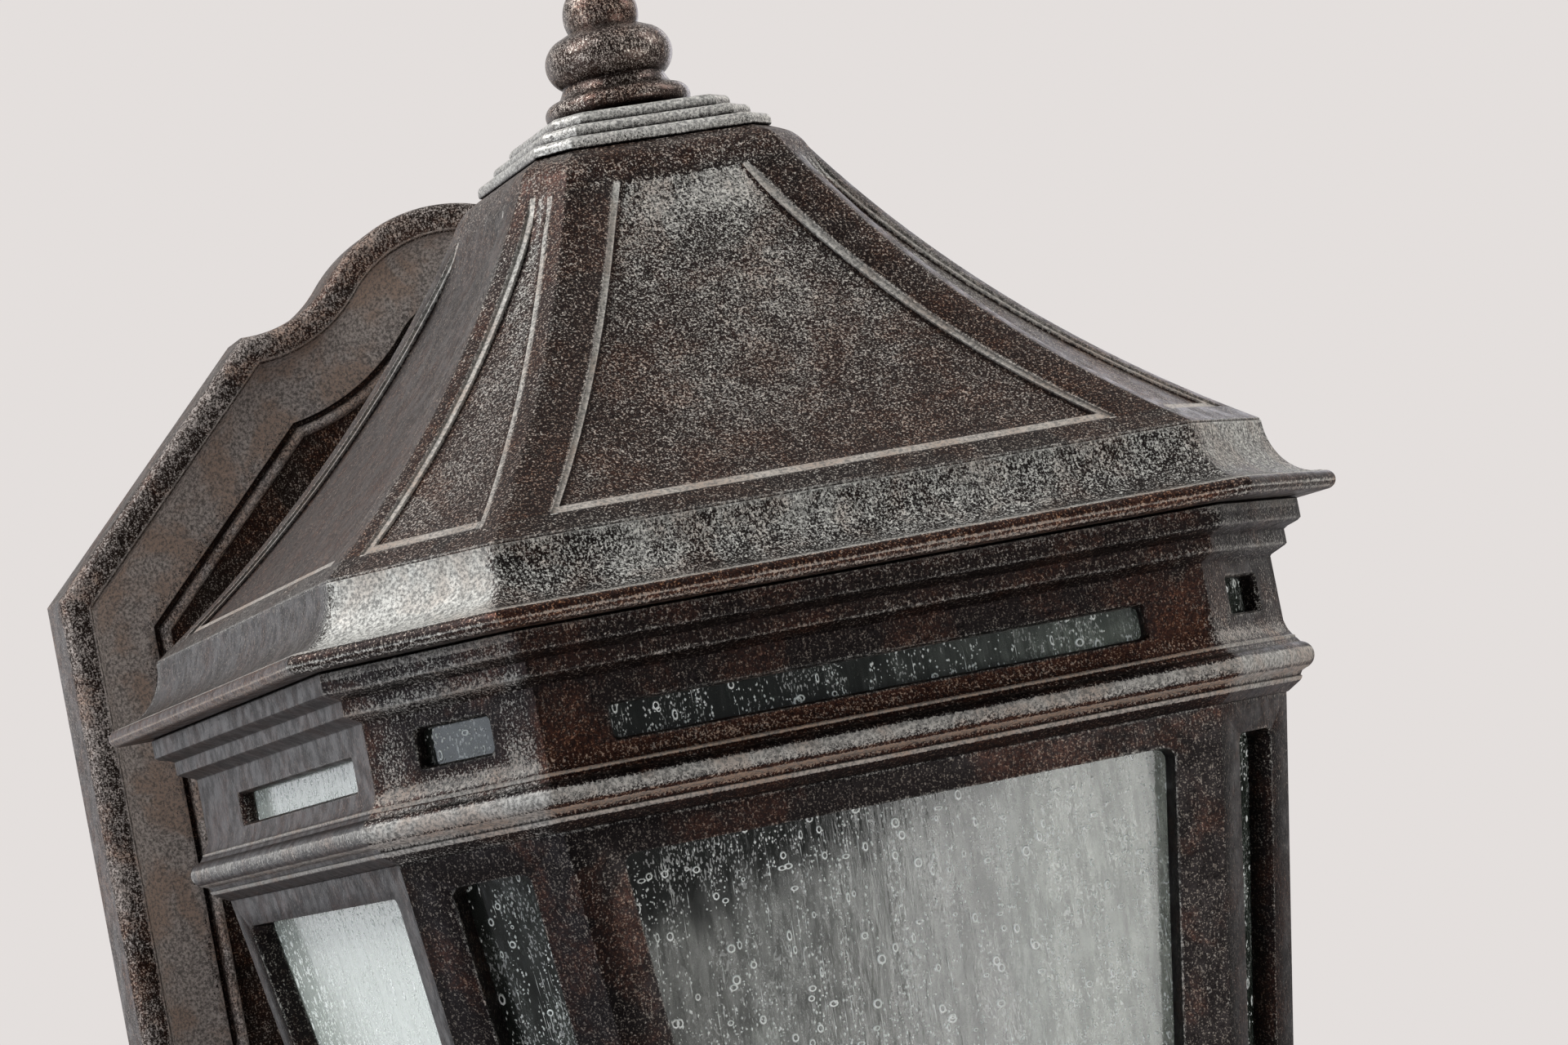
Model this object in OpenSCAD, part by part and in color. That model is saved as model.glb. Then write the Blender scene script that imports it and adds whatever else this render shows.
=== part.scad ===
// Outdoor wall lantern: a cast lantern with a bell roof, carried by one arm on a crested wall plate.
// The origin is the centre of the outlet-box slots on the wall: +X right, +Y into the wall, +Z up.
// The lantern's own heights are measured from the bead of its roof lip, on its upright axis.

/* [Placing] */
// Distance from the wall to the upright axis of the lantern
axis_out = 205; // [195:1:230]
// Height of the roof lip above the centre of the outlet box
lip_z = 100; // [95:1:110]
// Clearance at seats between pieces
seat_gap = 0.2; // [0.1:0.05:0.3]
// Clearance around screws and studs in their holes, on the radius
bore_gap = 0.08; // [0.05:0.01:0.1]

/* [Wall plate] */
// Width of the wall plate
plate_w = 255; // [240:1:275]
// Depth of the wall plate from the wall to its rim
plate_depth = 22; // [20:0.5:26]
// Height of the crest above the outlet-box centre
crest_top = 236; // [225:1:250]
// Reach of the plate below the outlet-box centre
plate_drop = 205; // [180:1:230]
// Radius of the rounded crest
crest_r = 45.5; // [43:0.5:50]
// Radius of the flare on each side of the crest
flare_r = 34.5; // [30:0.5:40]
// Angle above the horizontal at which crest and flare meet
crest_turn = 39.5; // [36:0.5:44]
// Cut across each lower corner of the plate
plate_corner = 40; // [25:1:60]
// Width of the flat rim
rim_w = 7.8; // [6:0.1:9]
// Width of the hollow moulding inside the rim
cove_w = 17.4; // [14:0.2:19]
// Width of the groove with the bead in it
bead_band = 7; // [6:0.1:8]
// Height of the bead above the plate's field
bead_h = 2.6; // [1.5:0.1:4]
// Width of the rim that meets the wall
back_rim = 8; // [6:0.5:12]
// Depth of the pocket behind the plate
pocket_depth = 7.5; // [7:0.1:9]
// Thickness of the plate's field
plate_wall = 3.5; // [3:0.1:4.5]

/* [Mounting strap] */
// Length of the strap
strap_l = 130; // [124:1:150]
// Width of the strap
strap_w = 25; // [22:0.5:28]
// Thickness of the strap
strap_t = 2; // [1.5:0.1:2.5]
// Distance between the middles of the two box slots
slot_spacing = 79.4; // [76:0.1:84]
// Length of each box slot
slot_l = 14.4; // [10:0.2:16]
// Radius of the ends of each box slot
slot_r = 2.4; // [2:0.1:3]
// Radius of the wire hole in the strap
strap_hole_r = 9.5; // [9:0.1:10]
// Distance from the middle to each stud of the strap
stud_x = 57; // [54:0.5:60]
// Radius of the strap's studs
stud_r = 2.05; // [1.8:0.05:2.5]
// Across-corners radius of the cap nuts
cap_nut_r = 6.5; // [5.5:0.1:8]
// Height of a cap nut's hexagon
cap_nut_h = 5; // [4:0.1:7]

/* [Arm] */
// Radius of the arm's flange on the wall plate
arm_plate_r = 38; // [36:0.5:42]
// Radius of the arm's flange on the lantern
arm_body_r = 30; // [28:0.5:32]
// Radius of the arm at its waist
arm_waist_r = 17; // [14:0.5:20]
// Thickness of the arm's flanges
arm_flange_t = 8; // [7:0.5:11]
// Radius of the wire way through the arm
wire_r = 8; // [6:0.5:9]
// Distance from the lantern's axis to the boss face on its back
boss_out = 114; // [112:0.5:120]
// Radius of the arm screws
arm_screw_r = 2; // [1.6:0.1:2.5]

/* [Body] */
// Half of the width of the lantern's body at its top
body_top = 111; // [109:0.5:113]
// Half of the width of the lantern's body at its foot
body_foot = 68; // [64:0.5:74]
// Height of the lantern's body
body_h = 299; // [285:1:320]
// Distance from the roof lip down to the top of the body
body_below = 48; // [46:0.5:52]
// Cut across each front corner at the top of the body
corner_top = 30.5; // [27:0.5:34]
// Cut across each front corner at the foot of the body
corner_foot = 24; // [21:0.5:27]
// Wall of the body
body_wall = 6; // [5:0.1:7]
// Width of the stiles beside the wide panes
stile_w = 12; // [10:0.2:14]
// Width of the stiles beside the corner panes
corner_stile = 11; // [10:0.1:12]
// Height of the rail above the panes
head_rail = 7.5; // [7:0.1:10]
// Height of the rail below the panes
foot_rail = 11; // [10:0.2:15]
// Width of the inner ledges that the castings are screwed through
ledge_w = 8; // [7:0.2:9]
// Thickness of the inner ledges
ledge_t = 4; // [3.5:0.1:4.5]

/* [Glass] */
// Thickness of the glass
glass_t = 3; // [2.5:0.1:4]
// Lap of a wide pane behind its stiles
pane_lap = 5; // [4:0.1:5.4]
// Lap of a corner pane behind its stiles
corner_lap = 2.6; // [2:0.1:3]
// Lap of the panes behind their rails
rail_lap = 2.5; // [1.5:0.1:3]
// Half length of the long frieze windows
frieze_window = 65; // [58:0.5:68]
// Height of the long frieze windows
frieze_window_h = 7.5; // [6:0.1:9]
// Half length of the corner frieze windows
frieze_corner_window = 9.5; // [8:0.1:11]
// Height of the corner frieze windows
frieze_corner_h = 8.4; // [7.5:0.1:9.5]
// Depth of the rebates that the frieze panes lie in
rebate = 3.5; // [3:0.1:4]

/* [Frieze] */
// Half width of the frieze wall
frieze_half = 113.5; // [112.5:0.1:115]
// Half width at the upper step of the frieze
frieze_step = 121.8; // [119:0.2:123]
// Half width at the round bead under the frieze windows
frieze_bead = 118.8; // [117:0.2:121]
// Half width of the room inside the frieze
frieze_room = 106; // [104.5:0.1:107]

/* [Roof] */
// Half of the width across the roof lip
lip_half = 130; // [127:0.5:136]
// Cut across each front corner of the roof at the foot of its bell
roof_corner = 31; // [28:0.5:34]
// How much deeper the back of the roof is than its sides, as a share
roof_back = 1.06; // [1:0.01:1.08]
// Radius of the bead on the roof lip
lip_bead_r = 2.3; // [1.8:0.1:2.6]
// Height of the hollow above the lip
lip_cove_h = 14.5; // [12:0.2:16]
// Width of the hollow above the lip
lip_cove_w = 11; // [9:0.2:13]
// Height of the bell's top above the lip
bell_top = 106.5; // [102:0.5:112]
// Half width at the bell's top
bell_neck = 37.6; // [36:0.2:40]
// Radius of the bell's hollow curve
bell_r = 310; // [240:5:420]
// Half width of the flat that the collar stands on
roof_crown = 30.6; // [30:0.1:31.5]
// Height of the rounded shoulder at the top of the bell
shoulder_h = 7.3; // [6:0.1:9]
// Thickness of the roof, measured level
roof_wall = 6; // [5:0.1:7]
// Depth of the sunk panels, measured level
panel_sink = 2.4; // [1.5:0.1:3]
// Margin round the wide sunk panels
panel_margin = 12; // [10:0.5:14]
// Margin beside the corner sunk panels
corner_margin = 4.5; // [4:0.1:5.5]

/* [Finial] */
// Half width of the collar's lowest tier
collar_half = 30.9; // [30.6:0.1:32]
// Height of each tier of the collar
tier_h = 3.4; // [3:0.1:4]
// How much each tier of the collar steps in
tier_step = 3.8; // [3:0.1:4.4]
// Radius of the ring at the foot of the finial
finial_ring_r = 18.4; // [16:0.2:19]
// Radius of the finial's bulb
finial_bulb_r = 16.1; // [14:0.1:17]
// Radius of the ball on the finial
finial_ball_r = 9.5; // [8:0.1:11]
// Radius of the roof stud
roof_stud_r = 3.15; // [2.5:0.05:3.5]
// Thickness of the bar that holds the roof stud
bar_t = 3; // [2.5:0.1:4]
// Width of the bar
bar_w = 16; // [14:0.5:20]

/* [Foot] */
// Height of the moulded ring under the body
base_h = 25; // [23:0.5:28]
// Half width of the bead on that ring
base_bead = 77.5; // [76:0.5:80]
// Half width of the foot pan's flange
pan_half = 66; // [64:0.5:67]
// Half width of the foot pan's bowl
bowl_half = 50; // [48:0.5:51]
// Depth of the foot pan's bowl
bowl_h = 30; // [26:0.5:34]
// Thickness of the foot pan
pan_wall = 4; // [3.5:0.1:4.5]
// Length of the turned drop below the pan
drop_l = 39; // [34:0.5:44]

/* [Lamps] */
// Distance from the lantern's axis to each lamp
lamp_circle = 28; // [26:0.5:32]
// Radius of the hub that the lamps branch from
hub_r = 13; // [11:0.5:14]
// Radius of the threaded pipe through the hub
nipple_r = 4.9; // [4:0.1:5]
// Outer radius of a candle sleeve
sleeve_r = 11; // [10.6:0.1:11.5]
// Wall of a candle sleeve
sleeve_wall = 1.3; // [1:0.1:1.4]
// Height of a candle sleeve
sleeve_h = 77; // [70:1:85]
// Radius of a bulb's cap
cap_r = 6; // [5.5:0.1:6.4]
// Radius of a bulb's glass
bulb_r = 17; // [15:0.5:18]
// Length of a bulb above its cap
bulb_l = 71; // [60:1:80]

/* [Screws] */
// Radius of the small assembly screws
screw_r = 1.5; // [1.2:0.1:1.6]
// Radius of the clip screws
clip_screw_r = 1; // [0.8:0.1:1.1]

/* [Hidden] */
$fn = 64;

bronze = [0.27, 0.21, 0.19];
bronze_dark = [0.2, 0.16, 0.15];
steel = [0.62, 0.62, 0.6];
earth_green = [0.2, 0.5, 0.25];
brass = [0.75, 0.6, 0.33];
clear_glass = [0.8, 0.86, 0.84, 0.4];
ivory = [0.9, 0.87, 0.78];

// A wall that is offset by 1 lengthens the cut of its 45 degree corner by this much
corner_growth = 2 - sqrt(2);

// Wall plate
plate_half = plate_w / 2;
field_h = pocket_depth + plate_wall;
crest_z = crest_top - crest_r;
flare_x = (crest_r + flare_r) * cos(crest_turn);
flare_z = crest_z + (crest_r + flare_r) * sin(crest_turn);
// The shoulder runs at 45 degrees from the end of the flare: x + z along it
shoulder_sum = flare_x + flare_z - flare_r + 1.2;
slot_run = slot_l - 2 * slot_r;
ground_r = 2;
ground_x = (strap_hole_r + (slot_spacing - slot_l) / 2) / 2;
stud_end = field_h + cap_nut_h + 3;
// Extra radius of a hole that a stud passes through freely
free_gap = 0.4;

// Arm
arm_l = axis_out - field_h - boss_out;
arm_ring_r = arm_plate_r - 10;
arm_body_ring_r = arm_body_r - 8;
// Step from the edge of each flange in to the start of the arm's hollow
arm_step = 4;

// Body of the lantern, in heights from the roof lip
body_z = -body_below;
foot_z = body_z - body_h;
taper = (body_top - body_foot) / body_h;
corner_taper = (corner_top - corner_foot) / body_h;
face_tilt = atan(taper);
corner_tilt = atan((2 * taper - corner_taper) / sqrt(2));
window_top = body_z - head_rail;
window_foot = foot_z + foot_rail;
boss_l = 24;
body_screw_half = body_top - body_wall - ledge_w / 2;
base_screw_half = body_foot - body_wall - ledge_w / 2;

// Panes
pane_top = window_top + rail_lap;
pane_foot = window_foot - rail_lap;
clip_w = 3.2;
clip_bite = 3.5;

// Frieze, which fills the height between roof and body
frieze_top = -lip_bead_r - seat_gap;
frieze_mid = -26;
frieze_corner_mid = frieze_mid + 2.5;
step_half = (frieze_half + frieze_step) / 2;
room_cut = corner_top + (2 - sqrt(2)) * (frieze_room - body_top);
bar_z = frieze_top - 9;
bar_tab = 11;

// Roof and finial
crown_z = bell_top + shoulder_h;
finial_z = crown_z + 3 * tier_h + 2 * seat_gap;
finial_neck_r = finial_bulb_r - 2.4;
finial_grip = 16;
stud_top = finial_z + finial_grip;
stud_foot = bar_z - bar_t - 8;
cove_top = lip_bead_r + 0.2 + lip_cove_h;
bell_foot = lip_half - 2.6 - lip_cove_w;

// Foot
base_z = foot_z - base_h;
pan_floor = base_z - pan_wall - bowl_h;
pan_eye = 18;
drop_top = pan_floor - seat_gap;
drop_grip = 16;
hub_z = foot_z + ledge_t;
hub_h = 20;
hub_grip = 14;
nipple_foot = drop_top - drop_grip + 0.5;
nipple_l = hub_z + hub_grip - 0.5 - nipple_foot;
nipple_wall = 1.5;

// Lamps
lamp_arm_t = 4;
lamp_arm_z = hub_z + 6;
drip_z = lamp_arm_z + lamp_arm_t;
drip_r = lamp_circle - hub_r - 0.4;
drip_t = 1.2;
sleeve_z = drip_z + drip_t + seat_gap;
sleeve_top = sleeve_z + sleeve_h;
socket_r = sleeve_r - sleeve_wall - 0.3;
cap_z = sleeve_top - 22;
cap_h = 20;
stem_r = 3;

// Six-sided plan with its two front corners cut at 45 degrees, anticlockwise from above
function plan(half, cut, back) = [
    [-half, back], [-half, cut - half], [cut - half, -half],
    [half - cut, -half], [half, cut - half], [half, back]];
function level(points, z) = [for (p = points) [p[0], p[1], z]];
function body_half(z) = body_top - taper * (body_z - z);
function body_cut(z) = corner_top - corner_taper * (body_z - z);
function body_ring(z, inset) =
    level(plan(body_half(z) - inset, body_cut(z) - corner_growth * inset, body_half(z) - inset), z);
function frieze_ring_at(half, z) =
    level(plan(half, corner_top + corner_growth * (half - body_top), half), z);
function base_ring_at(half, z) =
    level(plan(half, corner_foot + corner_growth * (half - body_foot), half), z);

// Cut of the roof's front corners: parallel offset below the bell, narrowing up the bell
crown_cut = 7.5;
function roof_cut(half) = half > bell_foot
    ? roof_corner + corner_growth * (half - bell_foot)
    : crown_cut + (roof_corner - crown_cut) * (half - roof_crown) / (bell_foot - roof_crown);
function roof_ring(half, z) = level(plan(half, roof_cut(half), half * roof_back), z);

function corner_distance(half, cut) = (2 * half - cut) / sqrt(2);
function pane_back(z) = body_half(z) - body_wall - 1;
function clip_x(z) = front_edge(z) + pane_lap + 0.3 + clip_w / 2;

// Points of a hollow arc from p up to q with radius r, bulging towards the axis
function arc_points(p, q, r, n) =
    let (dx = q[0] - p[0], dz = q[1] - p[1], chord = norm([dx, dz]),
         reach = sqrt(r * r - chord * chord / 4),
         c = [(p[0] + q[0]) / 2 + dz / chord * reach, (p[1] + q[1]) / 2 - dx / chord * reach],
         start = atan2(p[1] - c[1], p[0] - c[0]),
         turn = -2 * asin(chord / 2 / r))
    [for (i = [0:n]) c + r * [cos(start + turn * i / n), sin(start + turn * i / n)]];
bell = arc_points([bell_foot - 0.7, cove_top + 1], [bell_neck, bell_top], bell_r, 12);

// Corner points of a convex outline replaced by arcs of radius r
function rounded(points, r) =
    let (n = len(points))
    [for (i = [0:n - 1])
        let (p = points[i], a = points[(i + n - 1) % n] - p, b = points[(i + 1) % n] - p,
             u = a / norm(a), v = b / norm(b), half = acos(u * v) / 2,
             c = p + (u + v) / norm(u + v) * r / sin(half),
             first = p + u * r / tan(half) - c,
             start = atan2(first[1], first[0]))
        for (k = [0:4])
            let (t = start + (180 - 2 * half) * k / 4)
            c + r * [cos(t), sin(t)]];

// Solid through level rings, listed from the lowest up
module loft(rings) {
    n = len(rings[0]);
    last = (len(rings) - 1) * n;
    polyhedron(points = [for (r = rings) each r], convexity = 6, faces = concat(
        [[for (j = [0:n - 1]) j]],
        [for (i = [0:len(rings) - 2]) for (j = [0:n - 1])
            [i * n + j, (i + 1) * n + j, (i + 1) * n + (j + 1) % n, i * n + (j + 1) % n]],
        [[for (j = [n - 1:-1:0]) last + j]]));
}
// Straight solid of one plan between two heights
module prism(points, z0, z1) translate([0, 0, z0]) linear_extrude(z1 - z0) polygon(points);

// The lantern's own frame, and the frame of a ring of things that lies on the wall
module lantern() translate([0, -axis_out, lip_z]) children();
module on_wall() rotate([90, 0, 0]) children();

// Upright frame on the inside of a body face: x along it, y inwards, z up the slope
module on_face(turn, distance, tilt, z)
    rotate([0, 0, turn]) translate([0, -distance, z]) rotate([tilt, 0, 0]) children();
module on_wide_face(turn, z) on_face(turn, body_half(z) - body_wall, face_tilt, z) children();

// Pan-head screw along +Z, its head under z = 0 and its shank above
module screw(r, length) {
    translate([0, 0, -1.4 * r]) cylinder(r = 2 * r, h = 1.4 * r);
    cylinder(r = r, h = length);
}
module nut(r, bore, h) difference() {
    cylinder(r = r, h = h, $fn = 6);
    translate([0, 0, -1]) cylinder(r = bore, h = h + 2);
}

// Outline of the wall plate at an inset, as seen from the room
function plate_side(d) =
    let (rho = flare_r + d, step = (sqrt(2) - 1) * d,
         q = (shoulder_sum - sqrt(2) * d - flare_x - flare_z) / rho,
         flare_end = 315 + asin(q / sqrt(2)))
    concat(
        [[plate_half - plate_corner - step, d - plate_drop],
         [plate_half - d, plate_corner + step - plate_drop],
         [plate_half - d, shoulder_sum - plate_half - step]],
        [for (i = [8:-1:1])
            let (t = 180 + crest_turn + (flare_end - 180 - crest_turn) * i / 8)
            [flare_x + rho * cos(t), flare_z + rho * sin(t)]],
        [for (i = [0:9])
            let (t = crest_turn + (90 - crest_turn) * i / 10)
            [(crest_r - d) * cos(t), crest_z + (crest_r - d) * sin(t)]]);
function plate_outline(d) =
    let (side = plate_side(d), n = len(side))
    concat(side, [[0, crest_top - d]], [for (i = [n - 1:-1:0]) [-side[i][0], side[i][1]]]);
function plate_ring(d, h) = level(plate_outline(d), h);

module wall_plate() color(bronze) on_wall() difference() {
    cove_foot = field_h + 1;
    cove_drop = plate_depth - 1.5 - cove_foot;
    cove_in = rim_w + 0.8 + cove_w;
    loft(concat(
        [plate_ring(0, 0), plate_ring(0, plate_depth - 3), plate_ring(0.9, plate_depth - 0.9),
         plate_ring(3, plate_depth), plate_ring(rim_w, plate_depth)],
        [for (t = [0:15:90])
            plate_ring(rim_w + 0.8 + cove_w * (1 - cos(t)), cove_foot + cove_drop * (1 - sin(t)))],
        [plate_ring(cove_in + 0.6, field_h), plate_ring(cove_in + bead_band / 2 - 1.7, field_h)],
        [for (t = [15:30:165])
            plate_ring(cove_in + bead_band / 2 - 1.6 * cos(t), field_h + bead_h * sin(t))],
        [plate_ring(cove_in + bead_band / 2 + 1.7, field_h)]));
    prism(plate_outline(back_rim), -1, pocket_depth);
    translate([0, 0, pocket_depth - 1]) cylinder(r = wire_r, h = plate_wall + 2);
    for (s = [-1, 1]) translate([s * stud_x, 0, pocket_depth - 1])
        cylinder(r = stud_r + free_gap, h = plate_wall + 2);
    arm_ring(arm_ring_r, pocket_depth - 1) cylinder(r = arm_screw_r + bore_gap, h = plate_wall + 2);
}

// Copies a thing to the three screw places of a flange of the arm, on a circle of radius r
module arm_ring(r, z, way = 1)
    for (t = [90, 210, 330]) rotate([0, 0, way * t]) translate([r, 0, z]) children();

module mounting_strap() color(steel) on_wall() difference() {
    translate([-strap_l / 2, -strap_w / 2, 0]) cube([strap_l, strap_w, strap_t]);
    translate([0, 0, -1]) cylinder(r = strap_hole_r, h = strap_t + 2);
    translate([ground_x, 0, -1]) cylinder(r = ground_r + bore_gap, h = strap_t + 2);
    for (s = [-1, 1]) {
        translate([s * stud_x, 0, -1]) cylinder(r = stud_r + bore_gap, h = strap_t + 2);
        translate([s * slot_spacing / 2, 0, -1]) {
            for (e = [-1, 1]) translate([e * slot_run / 2, 0, 0]) cylinder(r = slot_r, h = strap_t + 2);
            translate([-slot_run / 2, -slot_r, 0]) cube([slot_run, 2 * slot_r, strap_t + 2]);
        }
    }
}
module strap_studs() color(steel) on_wall()
    for (s = [-1, 1]) translate([s * stud_x, 0, 0]) cylinder(r = stud_r, h = stud_end);
module strap_nuts() color(steel) on_wall()
    for (s = [-1, 1]) translate([s * stud_x, 0, strap_t]) nut(4.5, stud_r + bore_gap, 2.5);
module ground_screw() color(earth_green) on_wall() translate([ground_x, 0, strap_t])
    mirror([0, 0, 1]) screw(ground_r, strap_t);
module cap_nut(s) color(bronze_dark) on_wall() translate([s * stud_x, 0, field_h + seat_gap])
    difference() {
        union() {
            cylinder(r = cap_nut_r, h = cap_nut_h, $fn = 6);
            translate([0, 0, cap_nut_h - 0.5]) cylinder(r = cap_nut_r * 0.82, h = 2);
            translate([0, 0, cap_nut_h + 1.5]) sphere(r = cap_nut_r * 0.82);
        }
        translate([0, 0, -cap_nut_r]) cylinder(r = cap_nut_r, h = cap_nut_r);
        translate([0, 0, -1]) cylinder(r = stud_r + bore_gap, h = cap_nut_h + 4);
    }

// Arm, turned about an axis that points at the wall
module at_arm() lantern() translate([0, boss_out, -lip_z]) rotate([-90, 0, 0]) children();
module support_arm() color(bronze) at_arm() difference() {
    waist = arm_l / 2 - arm_flange_t;
    rotate_extrude() polygon(concat(
        [[0, 0], [arm_body_r - 0.8, 0], [arm_body_r, 0.8], [arm_body_r, arm_flange_t - 2],
         [arm_body_r - 2, arm_flange_t]],
        [for (t = [0:10:90]) [arm_waist_r + (arm_body_r - arm_step - arm_waist_r) * (1 - sin(t)),
            arm_flange_t + waist * (1 - cos(t))]],
        [for (t = [80:-10:0]) [arm_waist_r + (arm_plate_r - arm_step - arm_waist_r) * (1 - sin(t)),
            arm_l - arm_flange_t - waist * (1 - cos(t))]],
        [[arm_plate_r - 2, arm_l - arm_flange_t], [arm_plate_r, arm_l - arm_flange_t + 2],
         [arm_plate_r, arm_l], [0, arm_l]]));
    translate([0, 0, -1]) cylinder(r = wire_r, h = arm_l + 2);
    arm_ring(arm_body_ring_r, -1, -1) cylinder(r = arm_screw_r + bore_gap, h = arm_flange_t);
    arm_ring(arm_ring_r, arm_l - arm_flange_t + 1, -1)
        cylinder(r = arm_screw_r + bore_gap, h = arm_flange_t);
}
module arm_plate_screws() color(steel) on_wall() arm_ring(arm_ring_r, pocket_depth)
    screw(arm_screw_r, plate_wall + arm_flange_t - 2);
module arm_body_screws() color(steel) at_arm() arm_ring(arm_body_ring_r, -boss_l, -1)
    screw(arm_screw_r, boss_l + arm_flange_t - 2);

// Openings of the body, as outlines in a face's own frame: x along it, y up
function face_outline(foot_low, foot_high, top_low, top_high, z0, z1) =
    [[foot_low, z0], [foot_high, z0], [top_high, z1], [top_low, z1]];
function front_edge(z) = body_half(z) - body_cut(z) - stile_w;
function back_edge(z) = body_half(z) - stile_w;
function corner_edge(z) = body_cut(z) / sqrt(2) - corner_stile;
function front_window() = face_outline(-front_edge(window_foot), front_edge(window_foot),
    -front_edge(window_top), front_edge(window_top), window_foot, window_top);
function corner_window() = face_outline(-corner_edge(window_foot), corner_edge(window_foot),
    -corner_edge(window_top), corner_edge(window_top), window_foot, window_top);
function side_window() = face_outline(-front_edge(window_foot), back_edge(window_foot),
    -front_edge(window_top), back_edge(window_top), window_foot, window_top);
// Level cut outwards through a face, from well inside it
module through_face(turn, outline) rotate([0, 0, turn]) rotate([90, 0, 0])
    translate([0, 0, body_foot / 2]) linear_extrude(body_top) polygon(rounded(outline, 2.5));
module through_left(outline) mirror([1, 0, 0]) through_face(90, outline);

function ledge_plan(half, cut, inset) =
    plan(half - inset, cut - corner_growth * inset, half - inset);
// Copies a thing to the eight screw places of a ledge
module ledge_holes(half, z) for (turn = [0:90:270]) for (s = [-1, 1])
    rotate([0, 0, turn]) translate([s * half * 0.4, half, z]) children();

module body_frame() color(bronze) lantern() difference() {
    union() {
        difference() {
            loft([body_ring(foot_z, 0), body_ring(body_z, 0)]);
            loft([body_ring(foot_z + ledge_t, body_wall), body_ring(body_z - ledge_t, body_wall)]);
            prism(ledge_plan(body_top, corner_top, body_wall + ledge_w),
                body_z - ledge_t - 1, body_z + 1);
            prism(ledge_plan(body_foot, corner_foot, body_wall + ledge_w),
                foot_z - 1, foot_z + ledge_t + 1);
        }
        translate([0, boss_out, -lip_z]) rotate([90, 0, 0]) cylinder(r = arm_body_r, h = boss_l);
    }
    through_face(0, front_window());
    through_face(90, side_window());
    through_left(side_window());
    for (turn = [-45, 45]) through_face(turn, corner_window());
    translate([0, boss_out + 1, -lip_z]) rotate([90, 0, 0]) cylinder(r = wire_r, h = boss_l + 2);
    translate([0, boss_out - boss_l - 1, -lip_z]) rotate([-90, 0, 0])
        arm_ring(arm_body_ring_r, 0, -1) cylinder(r = arm_screw_r + bore_gap, h = boss_l + 2);
    ledge_holes(body_screw_half, body_z - ledge_t - 1) cylinder(r = screw_r + bore_gap, h = ledge_t + 2);
    ledge_holes(base_screw_half, foot_z - 1) cylinder(r = screw_r + bore_gap, h = ledge_t + 2);
    clip_places() translate([0, 1, 0]) rotate([90, 0, 0])
        cylinder(r = clip_screw_r + bore_gap, h = clip_bite + 1.5);
}

// Frieze: the moulded ring with the low windows, between body and roof
module frieze_ring() color(bronze) lantern() difference() {
    bead_z = body_z + 8;
    bead_r = 3.4;
    rows = concat(
        [[body_top + 0.4, body_z], [frieze_bead - 3.8, body_z + 2.4], [frieze_bead - 3.4, body_z + 4.4]],
        [for (t = [-75:25:75]) [frieze_bead - bead_r + bead_r * cos(t), bead_z + bead_r * sin(t)]],
        [[frieze_half + 2.2, bead_z + bead_r + 1], [frieze_half + 0.8, bead_z + bead_r + 3],
         [frieze_half, bead_z + bead_r + 4.4], [frieze_half, frieze_top - 12.6],
         [step_half, frieze_top - 10.8], [step_half, frieze_top - 7], [step_half + 1, frieze_top - 6.4],
         [frieze_step - 1, frieze_top - 5.6], [frieze_step, frieze_top - 5], [frieze_step, frieze_top]]);
    loft([for (row = rows) frieze_ring_at(row[0], row[1])]);
    prism(ledge_plan(frieze_room, room_cut, 0), body_z + ledge_t, frieze_top + 1);
    prism(ledge_plan(frieze_room, room_cut, ledge_w), body_z - 1, body_z + ledge_t + 1);
    for (turn = [-90, 0, 90]) frieze_cut(turn, frieze_window, frieze_window_h);
    for (turn = [-45, 45]) frieze_cut(turn, frieze_corner_window, frieze_corner_h, frieze_corner_mid);
    for (turn = [-90, 0, 90]) frieze_rebate(turn, frieze_room, frieze_window, frieze_window_h);
    for (turn = [-45, 45]) frieze_rebate(turn, corner_distance(frieze_room, room_cut),
        frieze_corner_window, frieze_corner_h, frieze_corner_mid);
    ledge_holes(body_screw_half, body_z - 1) cylinder(r = screw_r + bore_gap, h = ledge_t + 2);
    for (s = [-1, 1]) bar_screw_place(s) cylinder(r = screw_r + bore_gap, h = bar_t + 5);
}
module frieze_cut(turn, half, h, mid = frieze_mid) rotate([0, 0, turn]) rotate([90, 0, 0])
    translate([0, 0, frieze_room / 2]) linear_extrude(frieze_room)
    polygon(rounded([[-half, mid - h / 2], [half, mid - h / 2], [half, mid + h / 2], [-half, mid + h / 2]], 1.5));
module frieze_screws() color(steel) lantern() ledge_holes(body_screw_half, body_z + ledge_t)
    mirror([0, 0, 1]) screw(screw_r, 2 * ledge_t - 0.5);

// Panes, bedded against the inside of the castings
module body_pane(turn, tilt, distance, low_foot, high_foot, low_top, high_top)
    color(clear_glass) lantern() on_face(turn, distance, tilt, pane_foot)
    translate([0, seat_gap + glass_t, 0]) rotate([90, 0, 0]) linear_extrude(glass_t)
    polygon(face_outline(low_foot, high_foot, low_top, high_top,
        0, (pane_top - pane_foot) / cos(tilt)));
module wide_pane(turn, low_foot, high_foot, low_top, high_top)
    body_pane(turn, face_tilt, body_half(pane_foot) - body_wall, low_foot, high_foot, low_top, high_top);
function pane_edge(z) = front_edge(z) + pane_lap;
function corner_pane_edge(z) = corner_edge(z) + corner_lap;
module pane_front() wide_pane(0, -pane_edge(pane_foot), pane_edge(pane_foot),
    -pane_edge(pane_top), pane_edge(pane_top));
module pane_right() wide_pane(90, -pane_edge(pane_foot), pane_back(pane_foot),
    -pane_edge(pane_top), pane_back(pane_top));
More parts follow.
